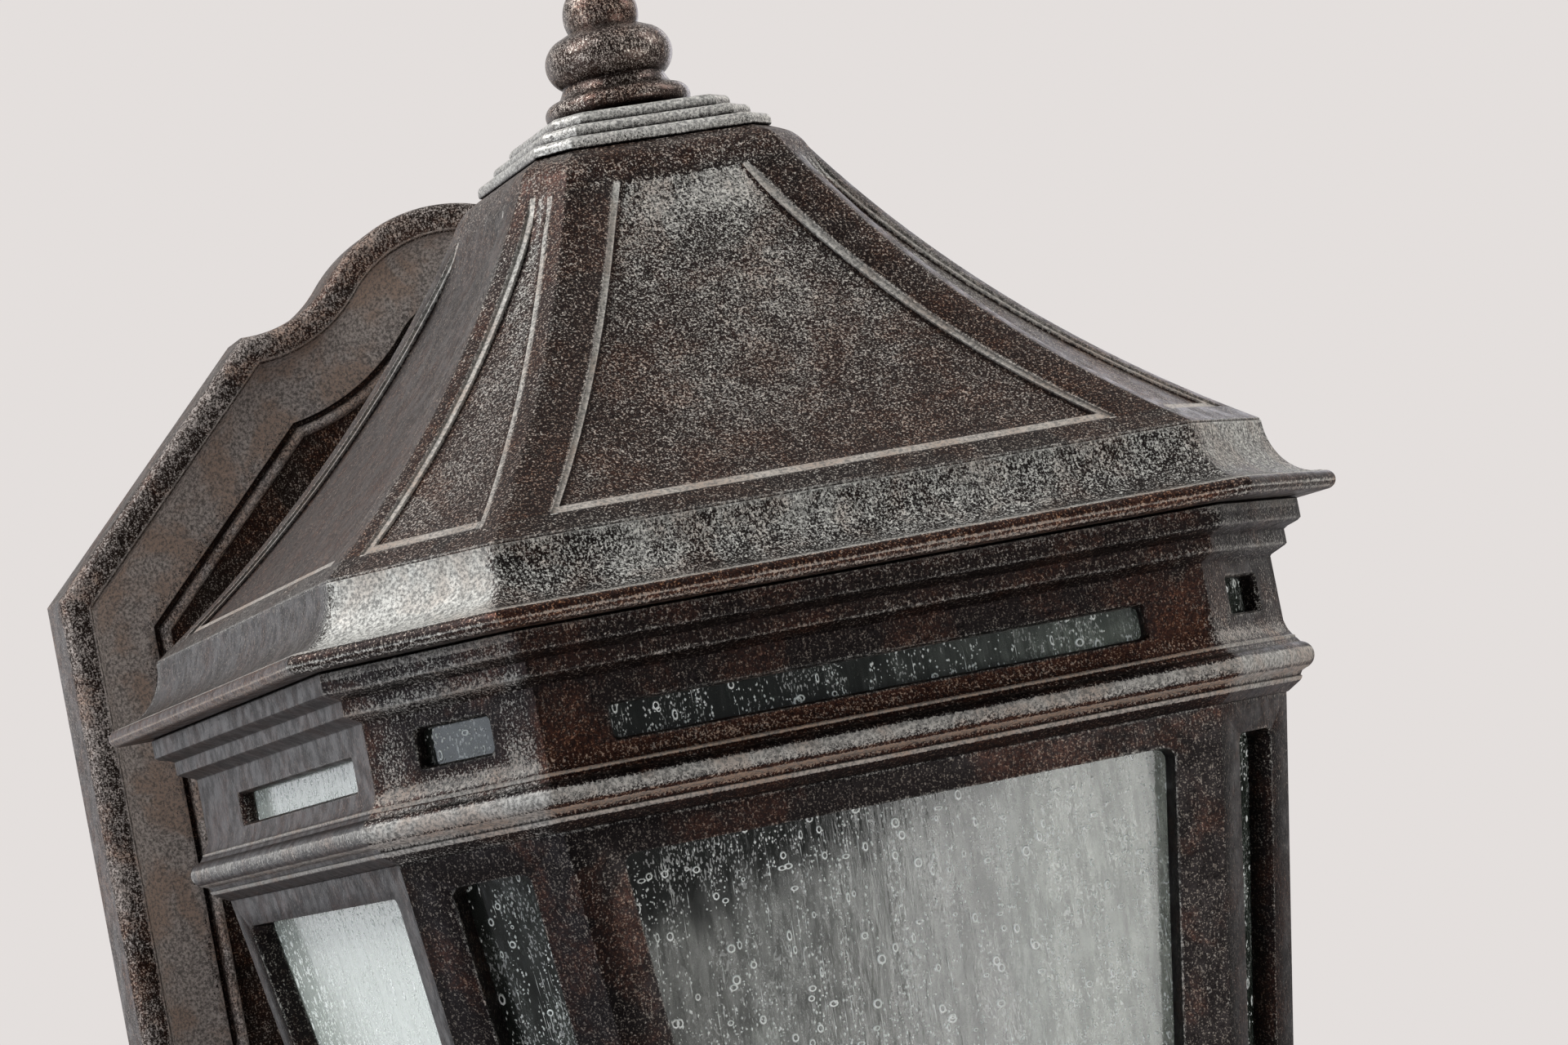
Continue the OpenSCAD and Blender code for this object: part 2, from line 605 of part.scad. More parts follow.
module pane_left() wide_pane(-90, -pane_back(pane_foot), pane_edge(pane_foot),
    -pane_back(pane_top), pane_edge(pane_top));
module corner_pane(turn) body_pane(turn, corner_tilt,
    corner_distance(body_half(pane_foot), body_cut(pane_foot)) - body_wall,
    -corner_pane_edge(pane_foot), corner_pane_edge(pane_foot),
    -corner_pane_edge(pane_top), corner_pane_edge(pane_top));
// Block behind a frieze window: the pane's own size, or grown by a gap for the rebate it lies in
module frieze_block(turn, distance, half, h, mid, front, depth, gap = 0) rotate([0, 0, turn])
    translate([-half - rail_lap - 1.5 - gap, -distance - front, mid - h / 2 - rail_lap - gap])
    cube([2 * (half + rail_lap + 1.5 + gap), depth, h + 2 * (rail_lap + gap)]);
module frieze_pane(turn, distance, half, h, mid = frieze_mid) color(clear_glass) lantern()
    frieze_block(turn, distance, half, h, mid, rebate - seat_gap, glass_t);
module frieze_rebate(turn, distance, half, h, mid = frieze_mid)
    frieze_block(turn, distance, half, h, mid, rebate, rebate + 1, 0.3);
module long_frieze_pane(turn) frieze_pane(turn, frieze_room, frieze_window, frieze_window_h);
module corner_frieze_pane(turn) frieze_pane(turn, corner_distance(frieze_room, room_cut),
    frieze_corner_window, frieze_corner_h, frieze_corner_mid);

// Clips: four on the front pane and two on each side pane, beside the front stiles
module clip_places() for (z = [window_foot + 30, window_top - 30]) {
    on_wide_face(0, z) translate([clip_x(z), 0, 0]) children();
    on_wide_face(0, z) translate([-clip_x(z), 0, 0]) mirror([1, 0, 0]) children();
    on_wide_face(90, z) translate([-clip_x(z), 0, 0]) mirror([1, 0, 0]) children();
    on_wide_face(-90, z) translate([clip_x(z), 0, 0]) children();
}
module pane_clips() color(steel) lantern() clip_places() difference() {
    union() {
        translate([-clip_w / 2, 0.05, -3]) cube([clip_w, seat_gap + glass_t + 1.1, 6]);
        translate([-clip_w / 2 - 4, seat_gap + glass_t + 0.15, -3]) cube([clip_w + 4, 1, 6]);
    }
    translate([0, 10, 0]) rotate([90, 0, 0]) cylinder(r = clip_screw_r + bore_gap, h = 12);
}
module clip_screws() color(steel) lantern() clip_places()
    translate([0, seat_gap + glass_t + 1.2, 0]) rotate([90, 0, 0])
    screw(clip_screw_r, seat_gap + glass_t + 1.2 + clip_bite);

// Roof: a thin casting with a sunk panel on each visible face
module roof() color(bronze) lantern() difference() {
    rows = concat(
        [[lip_half - lip_bead_r, -lip_bead_r]],
        [for (t = [-60:30:60]) [lip_half - lip_bead_r * (1 - cos(t)), lip_bead_r * sin(t)]],
        [[lip_half - lip_bead_r, lip_bead_r], [lip_half - 2.6, lip_bead_r + 0.2]],
        [for (t = [15:15:90]) [bell_foot + lip_cove_w * (1 - sin(t)),
            lip_bead_r + 0.2 + lip_cove_h * (1 - cos(t))]],
        bell,
        [[bell_neck - 1.2, bell_top + shoulder_h * 0.35],
         [bell_neck - 3.4, bell_top + shoulder_h * 0.7], [roof_crown, crown_z]]);
    loft([for (row = rows) roof_ring(row[0], row[1])]);
    loft(concat(
        [roof_room_ring(bell_foot - roof_wall, -lip_bead_r - 1),
         roof_room_ring(bell_foot - roof_wall, cove_top - 2)],
        [for (p = bell) roof_room_ring(p[0] - roof_wall, p[1] - 1)]));
    panel_cut(0, [for (p = panel_rows) [p[0], -wide_panel(p[0]), wide_panel(p[0]), p[1]]]);
    panel_cut(90, [for (p = panel_rows) [p[0], -wide_panel(p[0]), back_panel(p[0]), p[1]]]);
    panel_cut(-90, [for (p = panel_rows) [p[0], -back_panel(p[0]), wide_panel(p[0]), p[1]]]);
    for (turn = [-45, 45]) panel_cut(turn, [for (p = panel_rows)
        [corner_distance(p[0], roof_cut(p[0])), -corner_panel(p[0]), corner_panel(p[0]), p[1]]]);
    translate([0, 0, bell_top - 5]) cylinder(r = roof_stud_r + free_gap, h = shoulder_h + 10);
}
function roof_room_ring(half, z) =
    let (outer = half + roof_wall, cut = roof_cut(outer) - corner_growth * roof_wall / 2)
    level(plan(half, cut, outer * roof_back - roof_wall), z);
panel_rows = [for (i = [0:12]) bell[i] + (i == 0 ? [-4.5, 4] : i == 12 ? [1.4, -2.6] : [0, 0])];
function wide_panel(half) = half - roof_cut(half) - panel_margin;
function back_panel(half) = half * roof_back - panel_margin;
function corner_panel(half) = roof_cut(half) / sqrt(2) - corner_margin;
// Cut along one face: rows of distance, low and high edge, and height
module panel_cut(turn, rows) rotate([0, 0, turn]) loft([for (row = rows)
    let (outside = -row[0] - 3, inside = panel_sink - row[0])
    [[row[1], outside, row[3]], [row[2], outside, row[3]],
     [row[2], inside, row[3]], [row[1], inside, row[3]]]]);

// Collar of three tiers, each a low cushion
module roof_collar() color(bronze) lantern() difference() {
    cushion = [[0.5, 0], [0, 0.5], [0, tier_h - 1.2], [0.6, tier_h - 0.4], [1.6, tier_h]];
    loft([for (i = [0:2]) for (row = cushion)
        collar_ring(collar_half - i * tier_step - row[0], crown_z + seat_gap + i * tier_h + row[1])]);
    translate([0, 0, crown_z - 1]) cylinder(r = roof_stud_r + free_gap, h = 4 * tier_h);
}
function collar_ring(half, z) =
    level(plan(half, crown_cut * half / roof_crown, half * roof_back), z);

module finial() color(bronze) lantern() translate([0, 0, finial_z]) difference() {
    ring_z = 3.2;
    bulb_z = 15.4;
    bulb_in_r = finial_neck_r - 5;
    ball_z = bulb_z + 11.2;
    rotate_extrude() polygon(concat(
        [[0, 0], [finial_ring_r - 1.4, 0]],
        [for (t = [-60:20:70]) [finial_ring_r - 3 + 3 * cos(t), ring_z + 3 * sin(t)]],
        [[finial_neck_r + 1, ring_z + 4.2], [finial_neck_r, ring_z + 5]],
        [for (t = [-50:15:55]) [bulb_in_r + (finial_bulb_r - bulb_in_r) * cos(t), bulb_z + 7 * sin(t)]],
        [for (t = [-25:15:80]) [finial_ball_r * cos(t), ball_z + finial_ball_r * sin(t)]],
        [[0, ball_z + finial_ball_r]]));
    translate([0, 0, -1]) cylinder(r = roof_stud_r + bore_gap, h = finial_grip + 2);
}

// Bar across the frieze, with a tab turned down at each end, and the stud that it holds
module roof_bar() color(steel) lantern() difference() {
    union() {
        translate([-frieze_room, -bar_w / 2, bar_z - bar_t]) cube([2 * frieze_room, bar_w, bar_t]);
        for (s = [-1, 1]) translate([s * (frieze_room - bar_t / 2), 0, bar_z - bar_t + bar_tab / 2])
            cube([bar_t, bar_w, bar_tab], center = true);
    }
    translate([0, 0, bar_z - bar_t - 1]) cylinder(r = roof_stud_r + bore_gap, h = bar_t + 2);
    for (s = [-1, 1]) bar_screw_place(s) cylinder(r = screw_r + bore_gap, h = bar_t + 5);
}
module bar_screw_place(s) translate([s * (frieze_room - bar_t), 0, bar_z + (bar_tab - bar_t) / 2])
    rotate([0, s * 90, 0]) children();
module bar_screws() color(steel) lantern() for (s = [-1, 1]) bar_screw_place(s)
    screw(screw_r, bar_t + 4.5);
module roof_stud() color(steel) lantern() translate([0, 0, stud_foot])
    cylinder(r = roof_stud_r, h = stud_top - stud_foot);
module stud_locknuts() color(steel) lantern() for (z = [bar_z, bar_z - bar_t - 4])
    translate([0, 0, z]) nut(6.3, roof_stud_r + bore_gap, 4);

// Moulded ring under the body
module base_ring() color(bronze) lantern() difference() {
    bead_r = 3.6;
    bead_z = foot_z - 9;
    fillet = base_bead - 4;
    cove_z = base_z + 1;
    loft(concat(
        [base_ring_at(pan_half, base_z)],
        [for (t = [0:15:90]) base_ring_at(pan_half + (fillet - pan_half) * (1 - cos(t)),
            cove_z + (bead_z - bead_r - 2 - cove_z) * sin(t))],
        [base_ring_at(fillet, bead_z - bead_r - 0.4)],
        [for (t = [-75:25:75])
            base_ring_at(base_bead - bead_r + bead_r * cos(t), bead_z + bead_r * sin(t))],
        [base_ring_at(fillet - 1, bead_z + bead_r + 0.6), base_ring_at(fillet - 1, foot_z - 3),
         base_ring_at(body_foot + 1.6, foot_z - 0.8), base_ring_at(body_foot + 0.6, foot_z)]));
    prism(ledge_plan(body_foot, corner_foot, body_wall), base_z + ledge_t, foot_z - ledge_t);
    prism(ledge_plan(body_foot, corner_foot, body_wall + ledge_w), foot_z - ledge_t - 1, foot_z + 1);
    prism(pan_plan(bowl_half - pan_wall), base_z - 1, base_z + ledge_t + 1);
    ledge_holes(base_screw_half, foot_z - ledge_t - 1) cylinder(r = screw_r + bore_gap, h = ledge_t + 2);
    pan_screw_places(base_z - 1) cylinder(r = screw_r + bore_gap, h = ledge_t + 2);
}
module base_screws() color(steel) lantern() ledge_holes(base_screw_half, foot_z - ledge_t)
    screw(screw_r, 2 * ledge_t - 0.5);

// Pan that closes the foot, with a round bowl in its six-sided plan
function pan_plan(half) = plan(half, corner_foot * half / body_foot, half);
module pan_screw_places(z) for (turn = [0:90:270])
    rotate([0, 0, turn]) translate([(bowl_half + pan_half) / 2, 0, z]) children();
module foot_pan() color(bronze) lantern() difference() {
    union() {
        prism(pan_plan(pan_half), base_z - pan_wall, base_z);
        loft(concat([level(pan_plan(pan_eye - 2), pan_floor), level(pan_plan(pan_eye), pan_floor + 1.5)],
            [for (t = [0:10:90]) level(pan_plan(pan_eye + (bowl_half - pan_eye) * sin(t)),
                pan_floor + 3 + (bowl_h - 3) * (1 - cos(t)))],
            [level(pan_plan(bowl_half), base_z - 0.5)]));
    }
    loft(concat(
        [for (t = [0:10:90]) level(pan_plan(pan_eye - pan_wall + (bowl_half - pan_eye) * sin(t)),
            pan_floor + pan_wall + (bowl_h - pan_wall) * (1 - cos(t)))],
        [level(pan_plan(bowl_half - pan_wall), base_z + 1)]));
    translate([0, 0, pan_floor - 1]) cylinder(r = nipple_r + bore_gap, h = pan_wall + 2);
    pan_screw_places(base_z - pan_wall - 1) cylinder(r = screw_r + bore_gap, h = pan_wall + 2);
}
module pan_screws() color(steel) lantern() pan_screw_places(base_z - pan_wall)
    screw(screw_r, pan_wall + ledge_t - 0.5);
module foot_drop() color(bronze) lantern() translate([0, 0, drop_top]) difference() {
    neck_z = -drop_l * 0.3;
    ball_z = -drop_l * 0.62;
    ball_r = drop_l * 0.24;
    rotate_extrude() polygon(concat(
        [[0, -drop_l], [1.6, -drop_l + 0.8], [2.2, -drop_l + 2.4]],
        [for (t = [-70:14:56]) [ball_r * cos(t), ball_z + ball_r * sin(t)]],
        [[nipple_r + 2.6, neck_z], [nipple_r + 3, neck_z + 3], [pan_eye - 4, neck_z + 6]],
        [for (t = [-60:20:60]) [pan_eye - 3 + 2.4 * cos(t), -2.6 + 2.4 * sin(t)]],
        [[pan_eye - 3, 0], [0, 0]]));
    translate([0, 0, -drop_grip]) cylinder(r = nipple_r + bore_gap, h = drop_grip + 1);
}

// Cluster: hub on a threaded pipe, and the lamps round it
module cluster_hub() color(brass) lantern() translate([0, 0, hub_z]) difference() {
    rotate_extrude() polygon(concat(
        [[0, 0], [hub_r - 1, 0], [hub_r, 1], [hub_r, hub_h - 6], [hub_r - 1, hub_h - 5]],
        [for (t = [0:15:90]) [(hub_r - 3) * cos(t), hub_h - 5 + 5 * sin(t)]]));
    translate([0, 0, -1]) cylinder(r = nipple_r + bore_gap, h = hub_grip + 1);
}
module hub_nipple() color(steel) lantern() translate([0, 0, nipple_foot]) difference() {
    cylinder(r = nipple_r, h = nipple_l);
    translate([0, 0, -1]) cylinder(r = nipple_r - nipple_wall, h = nipple_l + 2);
}
module hub_locknut() color(steel) lantern() translate([0, 0, pan_floor + pan_wall])
    nut(nipple_r + 3.6, nipple_r + bore_gap, 4);
function lamp_turn(i) = 120 * i + 150;
module at_lamp(i) lantern() rotate([0, 0, lamp_turn(i)]) translate([lamp_circle, 0, 0]) children();
module lamp_arm(i) color(brass) lantern() rotate([0, 0, lamp_turn(i)]) translate([0, 0, lamp_arm_z])
    difference() {
        union() {
            translate([0, -4, 0]) cube([lamp_circle, 8, lamp_arm_t]);
            translate([lamp_circle, 0, 0]) cylinder(r = 7, h = lamp_arm_t);
        }
        translate([0, 0, -1]) cylinder(r = hub_r + 0.1, h = lamp_arm_t + 2);
        translate([lamp_circle, 0, -1]) cylinder(r = stem_r + bore_gap, h = lamp_arm_t + 2);
    }
module drip_pan(i) color(brass) at_lamp(i) translate([0, 0, drip_z]) rotate_extrude() polygon([
    [stem_r + bore_gap, 0], [sleeve_r + 0.8, 0], [drip_r - 0.6, 4.2], [drip_r, 5.2],
    [drip_r - 1.2, 5.2], [sleeve_r + 0.6, drip_t], [stem_r + bore_gap, drip_t]]);
module lamp_socket(i) color([0.12, 0.12, 0.12]) at_lamp(i) difference() {
    union() {
        translate([0, 0, lamp_arm_z - 2]) cylinder(r = stem_r + 2, h = 2);
        translate([0, 0, lamp_arm_z - 1]) cylinder(r = stem_r, h = cap_z - lamp_arm_z - 2);
        translate([0, 0, sleeve_z]) cylinder(r = stem_r + 3, h = 3);
        translate([0, 0, cap_z - 4]) cylinder(r = socket_r, h = sleeve_top - 2 - cap_z);
    }
    translate([0, 0, cap_z - seat_gap]) cylinder(r = cap_r + bore_gap, h = cap_h + 10);
}
module candle_sleeve(i) color(ivory) at_lamp(i) translate([0, 0, sleeve_z]) difference() {
    cylinder(r = sleeve_r, h = sleeve_h);
    translate([0, 0, -1]) cylinder(r = sleeve_r - sleeve_wall, h = sleeve_h + 2);
}
module bulb_cap(i) color(brass) at_lamp(i) translate([0, 0, cap_z]) cylinder(r = cap_r, h = cap_h);
function bulb_radius(u) = bulb_r * sin(180 * pow(u, 0.7));
bulb_steps = [0.13, 0.2, 0.28, 0.37, 0.46, 0.56, 0.66, 0.76, 0.85, 0.92, 0.97];
glass_thin = 0.9;
module bulb_glass(i) color(clear_glass) at_lamp(i) translate([0, 0, cap_z + cap_h])
    rotate_extrude() polygon(concat(
        [[cap_r - 1.2, 0], [cap_r - 0.3, 0], [cap_r - 0.2, 2.5]],
        [for (u = bulb_steps) [bulb_radius(u), u * bulb_l]],
        [[0, bulb_l], [0, bulb_l - 2]],
        [for (k = [len(bulb_steps) - 2:-1:0])
            [bulb_radius(bulb_steps[k]) - glass_thin, bulb_steps[k] * bulb_l - 0.3]],
        [[cap_r - 1.2, 2.5]]));

wall_plate();
mounting_strap();
strap_studs();
strap_nuts();
ground_screw();
cap_nut(-1);  // cap_nut_left
cap_nut(1);  // cap_nut_right
support_arm();
arm_plate_screws();
arm_body_screws();
body_frame();
frieze_ring();
frieze_screws();
pane_front();
pane_left();
pane_right();
corner_pane(-45);  // pane_corner_left
corner_pane(45);  // pane_corner_right
long_frieze_pane(0);  // frieze_pane_front
long_frieze_pane(-90);  // frieze_pane_left
long_frieze_pane(90);  // frieze_pane_right
corner_frieze_pane(-45);  // frieze_pane_corner_left
corner_frieze_pane(45);  // frieze_pane_corner_right
pane_clips();
clip_screws();
roof();
roof_collar();
finial();
roof_bar();
bar_screws();
roof_stud();
stud_locknuts();
base_ring();
base_screws();
foot_pan();
pan_screws();
foot_drop();
cluster_hub();
hub_nipple();
hub_locknut();
for (i = [1:3]) {
    lamp_arm(i);
    drip_pan(i);
    lamp_socket(i);
    candle_sleeve(i);
    bulb_cap(i);
    bulb_glass(i);
}
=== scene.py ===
import math
import bmesh
import bpy
from mathutils import Matrix, Vector


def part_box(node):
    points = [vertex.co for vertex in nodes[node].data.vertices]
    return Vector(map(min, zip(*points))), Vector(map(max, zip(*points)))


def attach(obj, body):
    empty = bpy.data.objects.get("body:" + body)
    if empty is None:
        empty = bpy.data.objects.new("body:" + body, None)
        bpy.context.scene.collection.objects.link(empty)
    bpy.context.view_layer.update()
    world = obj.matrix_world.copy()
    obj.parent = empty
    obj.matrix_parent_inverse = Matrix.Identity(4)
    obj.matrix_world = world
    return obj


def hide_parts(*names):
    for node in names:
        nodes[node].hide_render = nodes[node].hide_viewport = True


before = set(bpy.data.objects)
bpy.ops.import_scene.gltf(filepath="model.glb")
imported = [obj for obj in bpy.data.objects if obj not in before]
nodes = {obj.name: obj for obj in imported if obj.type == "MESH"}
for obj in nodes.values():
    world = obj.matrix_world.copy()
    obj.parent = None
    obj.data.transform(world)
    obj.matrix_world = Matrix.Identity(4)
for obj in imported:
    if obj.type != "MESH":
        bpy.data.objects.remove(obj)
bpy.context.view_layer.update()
mm = 0.001

# Outdoor wall lantern: +X right, +Y into the wall, +Z up, origin at the outlet box.
# Lantern pieces are drawn in millimetres from the lip of the roof, on the lantern's upright axis.
finialLow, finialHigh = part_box("finial")
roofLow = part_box("roof")[0]
lantern = {
    "axisX": (finialLow.x + finialHigh.x) / 2,
    "axisY": (finialLow.y + finialHigh.y) / 2,
    "lipBead": 2.3,  # radius of the bead on the lip
}
lantern["lipZ"] = roofLow.z + lantern["lipBead"] * mm
lantern["centre"] = Vector((lantern["axisX"], lantern["axisY"], lantern["lipZ"]))

# Camera: where the photograph was taken from, with its slight roll
cameraSpot = {
    "place": (-0.37245, -1.36967, 0.04735),
    "azimuth": -18.70,
    "elevation": -3.28,
    "roll": -11.12,
    "lens": 113.1,
    "sensor": 36.0,
}


def makeCamera(spot):
    azimuth, elevation, roll = (math.radians(spot[key]) for key in ("azimuth", "elevation", "roll"))
    back = Vector((
        math.sin(azimuth) * math.cos(elevation),
        -math.cos(azimuth) * math.cos(elevation),
        math.sin(elevation),
    ))
    right = (-back).cross(Vector((0, 0, 1))).normalized()
    up = right.cross(-back)
    across = math.cos(roll) * right + math.sin(roll) * up
    upward = -math.sin(roll) * right + math.cos(roll) * up
    data = bpy.data.cameras.new("camera")
    data.lens = spot["lens"]
    data.sensor_width = spot["sensor"]
    data.clip_start = 0.05
    data.clip_end = 50
    made = bpy.data.objects.new("camera", data)
    bpy.context.scene.collection.objects.link(made)
    turn = Matrix((across, upward, back)).transposed().to_4x4()
    made.matrix_world = Matrix.Translation(spot["place"]) @ turn
    bpy.context.scene.camera = made


makeCamera(cameraSpot)
print("camera placed")


# Shader helpers

floatSocket = "NodeSocketFloat"
colorSocket = "NodeSocketColor"
vectorSocket = "NodeSocketVector"
geometrySocket = "NodeSocketGeometry"
wholeSocket = "NodeSocketInt"
materialSocket = "NodeSocketMaterial"


def put(tree, kind, inputs=None, **settings):
    node = tree.nodes.new(kind)
    for key, value in settings.items():
        setattr(node, key, value)
    for key, value in (inputs or {}).items():
        if isinstance(value, bpy.types.NodeSocket):
            tree.links.new(value, node.inputs[key])
        else:
            node.inputs[key].default_value = value
    return node


def calc(tree, operation, first, second=0.0, third=0.0, clamp=False):
    node = put(tree, "ShaderNodeMath", {0: first, 1: second, 2: third}, operation=operation)
    node.use_clamp = clamp
    return node.outputs[0]


def remap(tree, value, low, high, toLow=0.0, toHigh=1.0):
    node = put(tree, "ShaderNodeMapRange", {0: value, 1: low, 2: high, 3: toLow, 4: toHigh})
    node.interpolation_type = "SMOOTHSTEP"
    return node.outputs[0]


def mixColor(tree, factor, first, second):
    return put(tree, "ShaderNodeMix", {0: factor, 6: first, 7: second}, data_type="RGBA").outputs[2]


def grain(tree, vector, scale, detail=2.0, roughness=0.5, distortion=0.0):
    node = put(tree, "ShaderNodeTexNoise", {
        "Vector": vector, "Scale": scale, "Detail": detail,
        "Roughness": roughness, "Distortion": distortion,
    })
    return node.outputs["Fac"]


def stretched(tree, vector, scale):
    return put(tree, "ShaderNodeMapping", {"Vector": vector, "Scale": scale}).outputs[0]


def newGroup(name, inputs, outputs, treeKind="ShaderNodeTree"):
    tree = bpy.data.node_groups.new(name, treeKind)
    for label, kind, value in inputs:
        socket = tree.interface.new_socket(label, in_out="INPUT", socket_type=kind)
        if value is not None:
            socket.default_value = value
    for label, kind in outputs:
        tree.interface.new_socket(label, in_out="OUTPUT", socket_type=kind)
    return tree, tree.nodes.new("NodeGroupInput").outputs, tree.nodes.new("NodeGroupOutput").inputs


def giveOut(tree, out, **results):
    for label, value in results.items():
        tree.links.new(value, out[label])
    return tree


def makeCastSurface():
    # Dark bronze paint with fine dust in its grain, rubbed back to pale metal in specks, with crevices
    # darkened toward black as painted shade
    tree, given, out = newGroup("castSurface", [
        ("Rubbed", floatSocket, 0.4),
        ("Edges", floatSocket, 0.5),
        ("Rust", floatSocket, 0.3),
        ("Dust", floatSocket, 0.5),
        ("Polish", floatSocket, 0.0),
        ("Metal", floatSocket, 0.25),
        ("Grain Scale", floatSocket, 2100.0),
        ("Dark", colorSocket, (0.016, 0.012, 0.011, 1)),
        ("Pale", colorSocket, (0.45, 0.44, 0.405, 1)),
        ("Rust Colour", colorSocket, (0.050, 0.019, 0.012, 1)),
    ], [
        ("Color", colorSocket), ("Roughness", floatSocket), ("Metallic", floatSocket),
        ("Height", floatSocket), ("Rounded", vectorSocket),
    ])
    black = (0.006, 0.004, 0.004, 1)
    place = put(tree, "ShaderNodeTexCoord").outputs["Object"]
    specks = grain(tree, place, given["Grain Scale"], 2.0, 0.7)
    streaks = grain(tree, stretched(tree, place, (1700, 1700, 650)), 1.0, 2.0, 0.6)
    specks = calc(tree, "ADD", calc(tree, "MULTIPLY", specks, 0.64), calc(tree, "MULTIPLY", streaks, 0.36))
    patches = grain(tree, place, 34.0, 3.0, 0.55)
    blotches = grain(tree, place, 170.0, 3.0, 0.6)
    dots = grain(tree, place, 1200.0, 2.0, 0.7)
    # Pale rubbing per point, which also carries painted light and shade: darker sides, highlights, and shade
    # at the feet of steps
    wearAndPaintedLight = put(tree, "ShaderNodeAttribute", attribute_name="wearAndPaintedLight").outputs["Fac"]
    rusty = put(tree, "ShaderNodeAttribute", attribute_name="rust").outputs["Fac"]
    rounded = put(tree, "ShaderNodeBevel", {"Radius": 0.0004}, samples=3).outputs[0]
    # Looked at from inside the metal, a convex edge is shut in; from outside, a crevice is
    inside = put(tree, "ShaderNodeAmbientOcclusion", {"Distance": 0.0010}, samples=5, inside=True)
    edge = remap(tree, inside.outputs["AO"], 0.95, 0.62)
    # Occlusion seen from outside marks the crevices, which are then darkened: painted shade
    outside = put(tree, "ShaderNodeAmbientOcclusion", {"Distance": 0.005}, samples=5)
    crevice = remap(tree, outside.outputs["AO"], 0.82, 0.38)

    cover = calc(tree, "ADD", given["Rubbed"], wearAndPaintedLight)
    cover = calc(tree, "MULTIPLY_ADD", edge, given["Edges"], cover)
    cover = calc(tree, "MULTIPLY_ADD", calc(tree, "SUBTRACT", patches, 0.5), 0.55, cover)
    cover = calc(tree, "MULTIPLY_ADD", calc(tree, "SUBTRACT", blotches, 0.5), 0.45, cover)
    # Crevices get less of the pale rubbing, partly real and partly painted shade
    cover = calc(tree, "MULTIPLY_ADD", crevice, -0.5, cover)
    limit = calc(tree, "MULTIPLY_ADD", cover, -0.26, 0.62)
    rub = remap(tree, specks, calc(tree, "SUBTRACT", limit, 0.035), calc(tree, "ADD", limit, 0.035))

    rustSpread = remap(tree, grain(tree, place, 62.0, 4.0, 0.6, 0.4), 0.45, 0.62)
    rustSpread = calc(tree, "MULTIPLY_ADD", rustSpread, given["Rust"], rusty)
    rustSpread = calc(tree, "MULTIPLY", rustSpread, remap(tree, dots, 0.38, 0.62, 0.25, 1.0), clamp=True)
    dark = mixColor(tree, rustSpread, given["Dark"], given["Rust Colour"])
    dustLimit = calc(tree, "MULTIPLY_ADD", cover, 0.05, specks)
    dusty = calc(tree, "MULTIPLY", remap(tree, dustLimit, 0.54, 0.585), given["Dust"])
    dark = mixColor(tree, dusty, dark, mixColor(
        tree, rustSpread, (0.25, 0.210, 0.175, 1), (0.36, 0.165, 0.078, 1)))
    dark = mixColor(tree, remap(tree, cover, 0.35, 1.1, 0.0, 0.75), dark, given["Pale"])
    toneShift = remap(tree, dots, 0.32, 0.68, 0.4, 1.45)
    pale = put(tree, "ShaderNodeHueSaturation", {"Value": toneShift, "Color": given["Pale"]}).outputs[0]
    pale = mixColor(tree, calc(tree, "MULTIPLY", rustSpread, 0.7), pale, (0.32, 0.175, 0.095, 1))
    color = mixColor(tree, rub, dark, pale)
    pitted = remap(tree, calc(tree, "MULTIPLY_ADD", cover, 0.05, specks), 0.45, 0.37, 0.0, 0.75)
    color = mixColor(tree, pitted, color, black)
    # Painted shade: crevices darkened toward black
    color = mixColor(tree, calc(tree, "MULTIPLY", crevice, 0.7), color, black)
    # Black hollows are given as metal, so that they reflect next to nothing
    lit = calc(tree, "MAXIMUM", calc(tree, "MAXIMUM", rub, dusty), remap(tree, cover, 0.3, 1.0))
    lit = calc(tree, "MULTIPLY", lit, calc(tree, "SUBTRACT", 1.0, pitted))
    metal = calc(tree, "MULTIPLY_ADD", lit, calc(tree, "SUBTRACT", given["Metal"], 0.85), 0.85)
    rough = remap(tree, rub, 0.0, 1.0, 0.40, 0.58)
    rough = calc(tree, "ADD", rough, remap(tree, blotches, 0.35, 0.65, -0.06, 0.10))
    rough = calc(tree, "SUBTRACT", rough, given["Polish"])
    height = calc(tree, "MULTIPLY_ADD", rub, 0.35, calc(tree, "MULTIPLY", specks, 0.5))
    pits = remap(tree, grain(tree, place, 520.0, 2.0, 0.5), 0.3, 0.46, -0.5, 0.0)
    height = calc(tree, "ADD", height, pits)
    return giveOut(tree, out, Color=color, Roughness=rough, Height=height, Metallic=metal, Rounded=rounded)


def makePlainGrain():
    # Two close tones in cloudy grain, for steel, brass, plastic and the floor
    tree, given, out = newGroup("plainGrain", [
        ("First", colorSocket, (0.6, 0.6, 0.6, 1)),
        ("Second", colorSocket, (0.5, 0.5, 0.5, 1)),
        ("Grain Scale", floatSocket, 400.0),
        ("Stretch", vectorSocket, (1, 1, 1)),
        ("Rough Low", floatSocket, 0.3),
        ("Rough High", floatSocket, 0.5),
    ], [("Color", colorSocket), ("Roughness", floatSocket), ("Height", floatSocket)])
    place = put(tree, "ShaderNodeTexCoord").outputs["Object"]
    fine = grain(tree, stretched(tree, place, given["Stretch"]), given["Grain Scale"], 4.0, 0.6)
    cloudy = grain(tree, place, 60.0, 3.0, 0.5)
    mixed = calc(tree, "MULTIPLY_ADD", cloudy, 0.5, calc(tree, "MULTIPLY", fine, 0.5))
    color = mixColor(tree, remap(tree, mixed, 0.38, 0.62), given["First"], given["Second"])
    rough = put(tree, "ShaderNodeMapRange", {
        0: fine, 1: 0.3, 2: 0.7, 3: given["Rough Low"], 4: given["Rough High"]}).outputs[0]
    return giveOut(tree, out, Color=color, Roughness=rough, Height=fine)


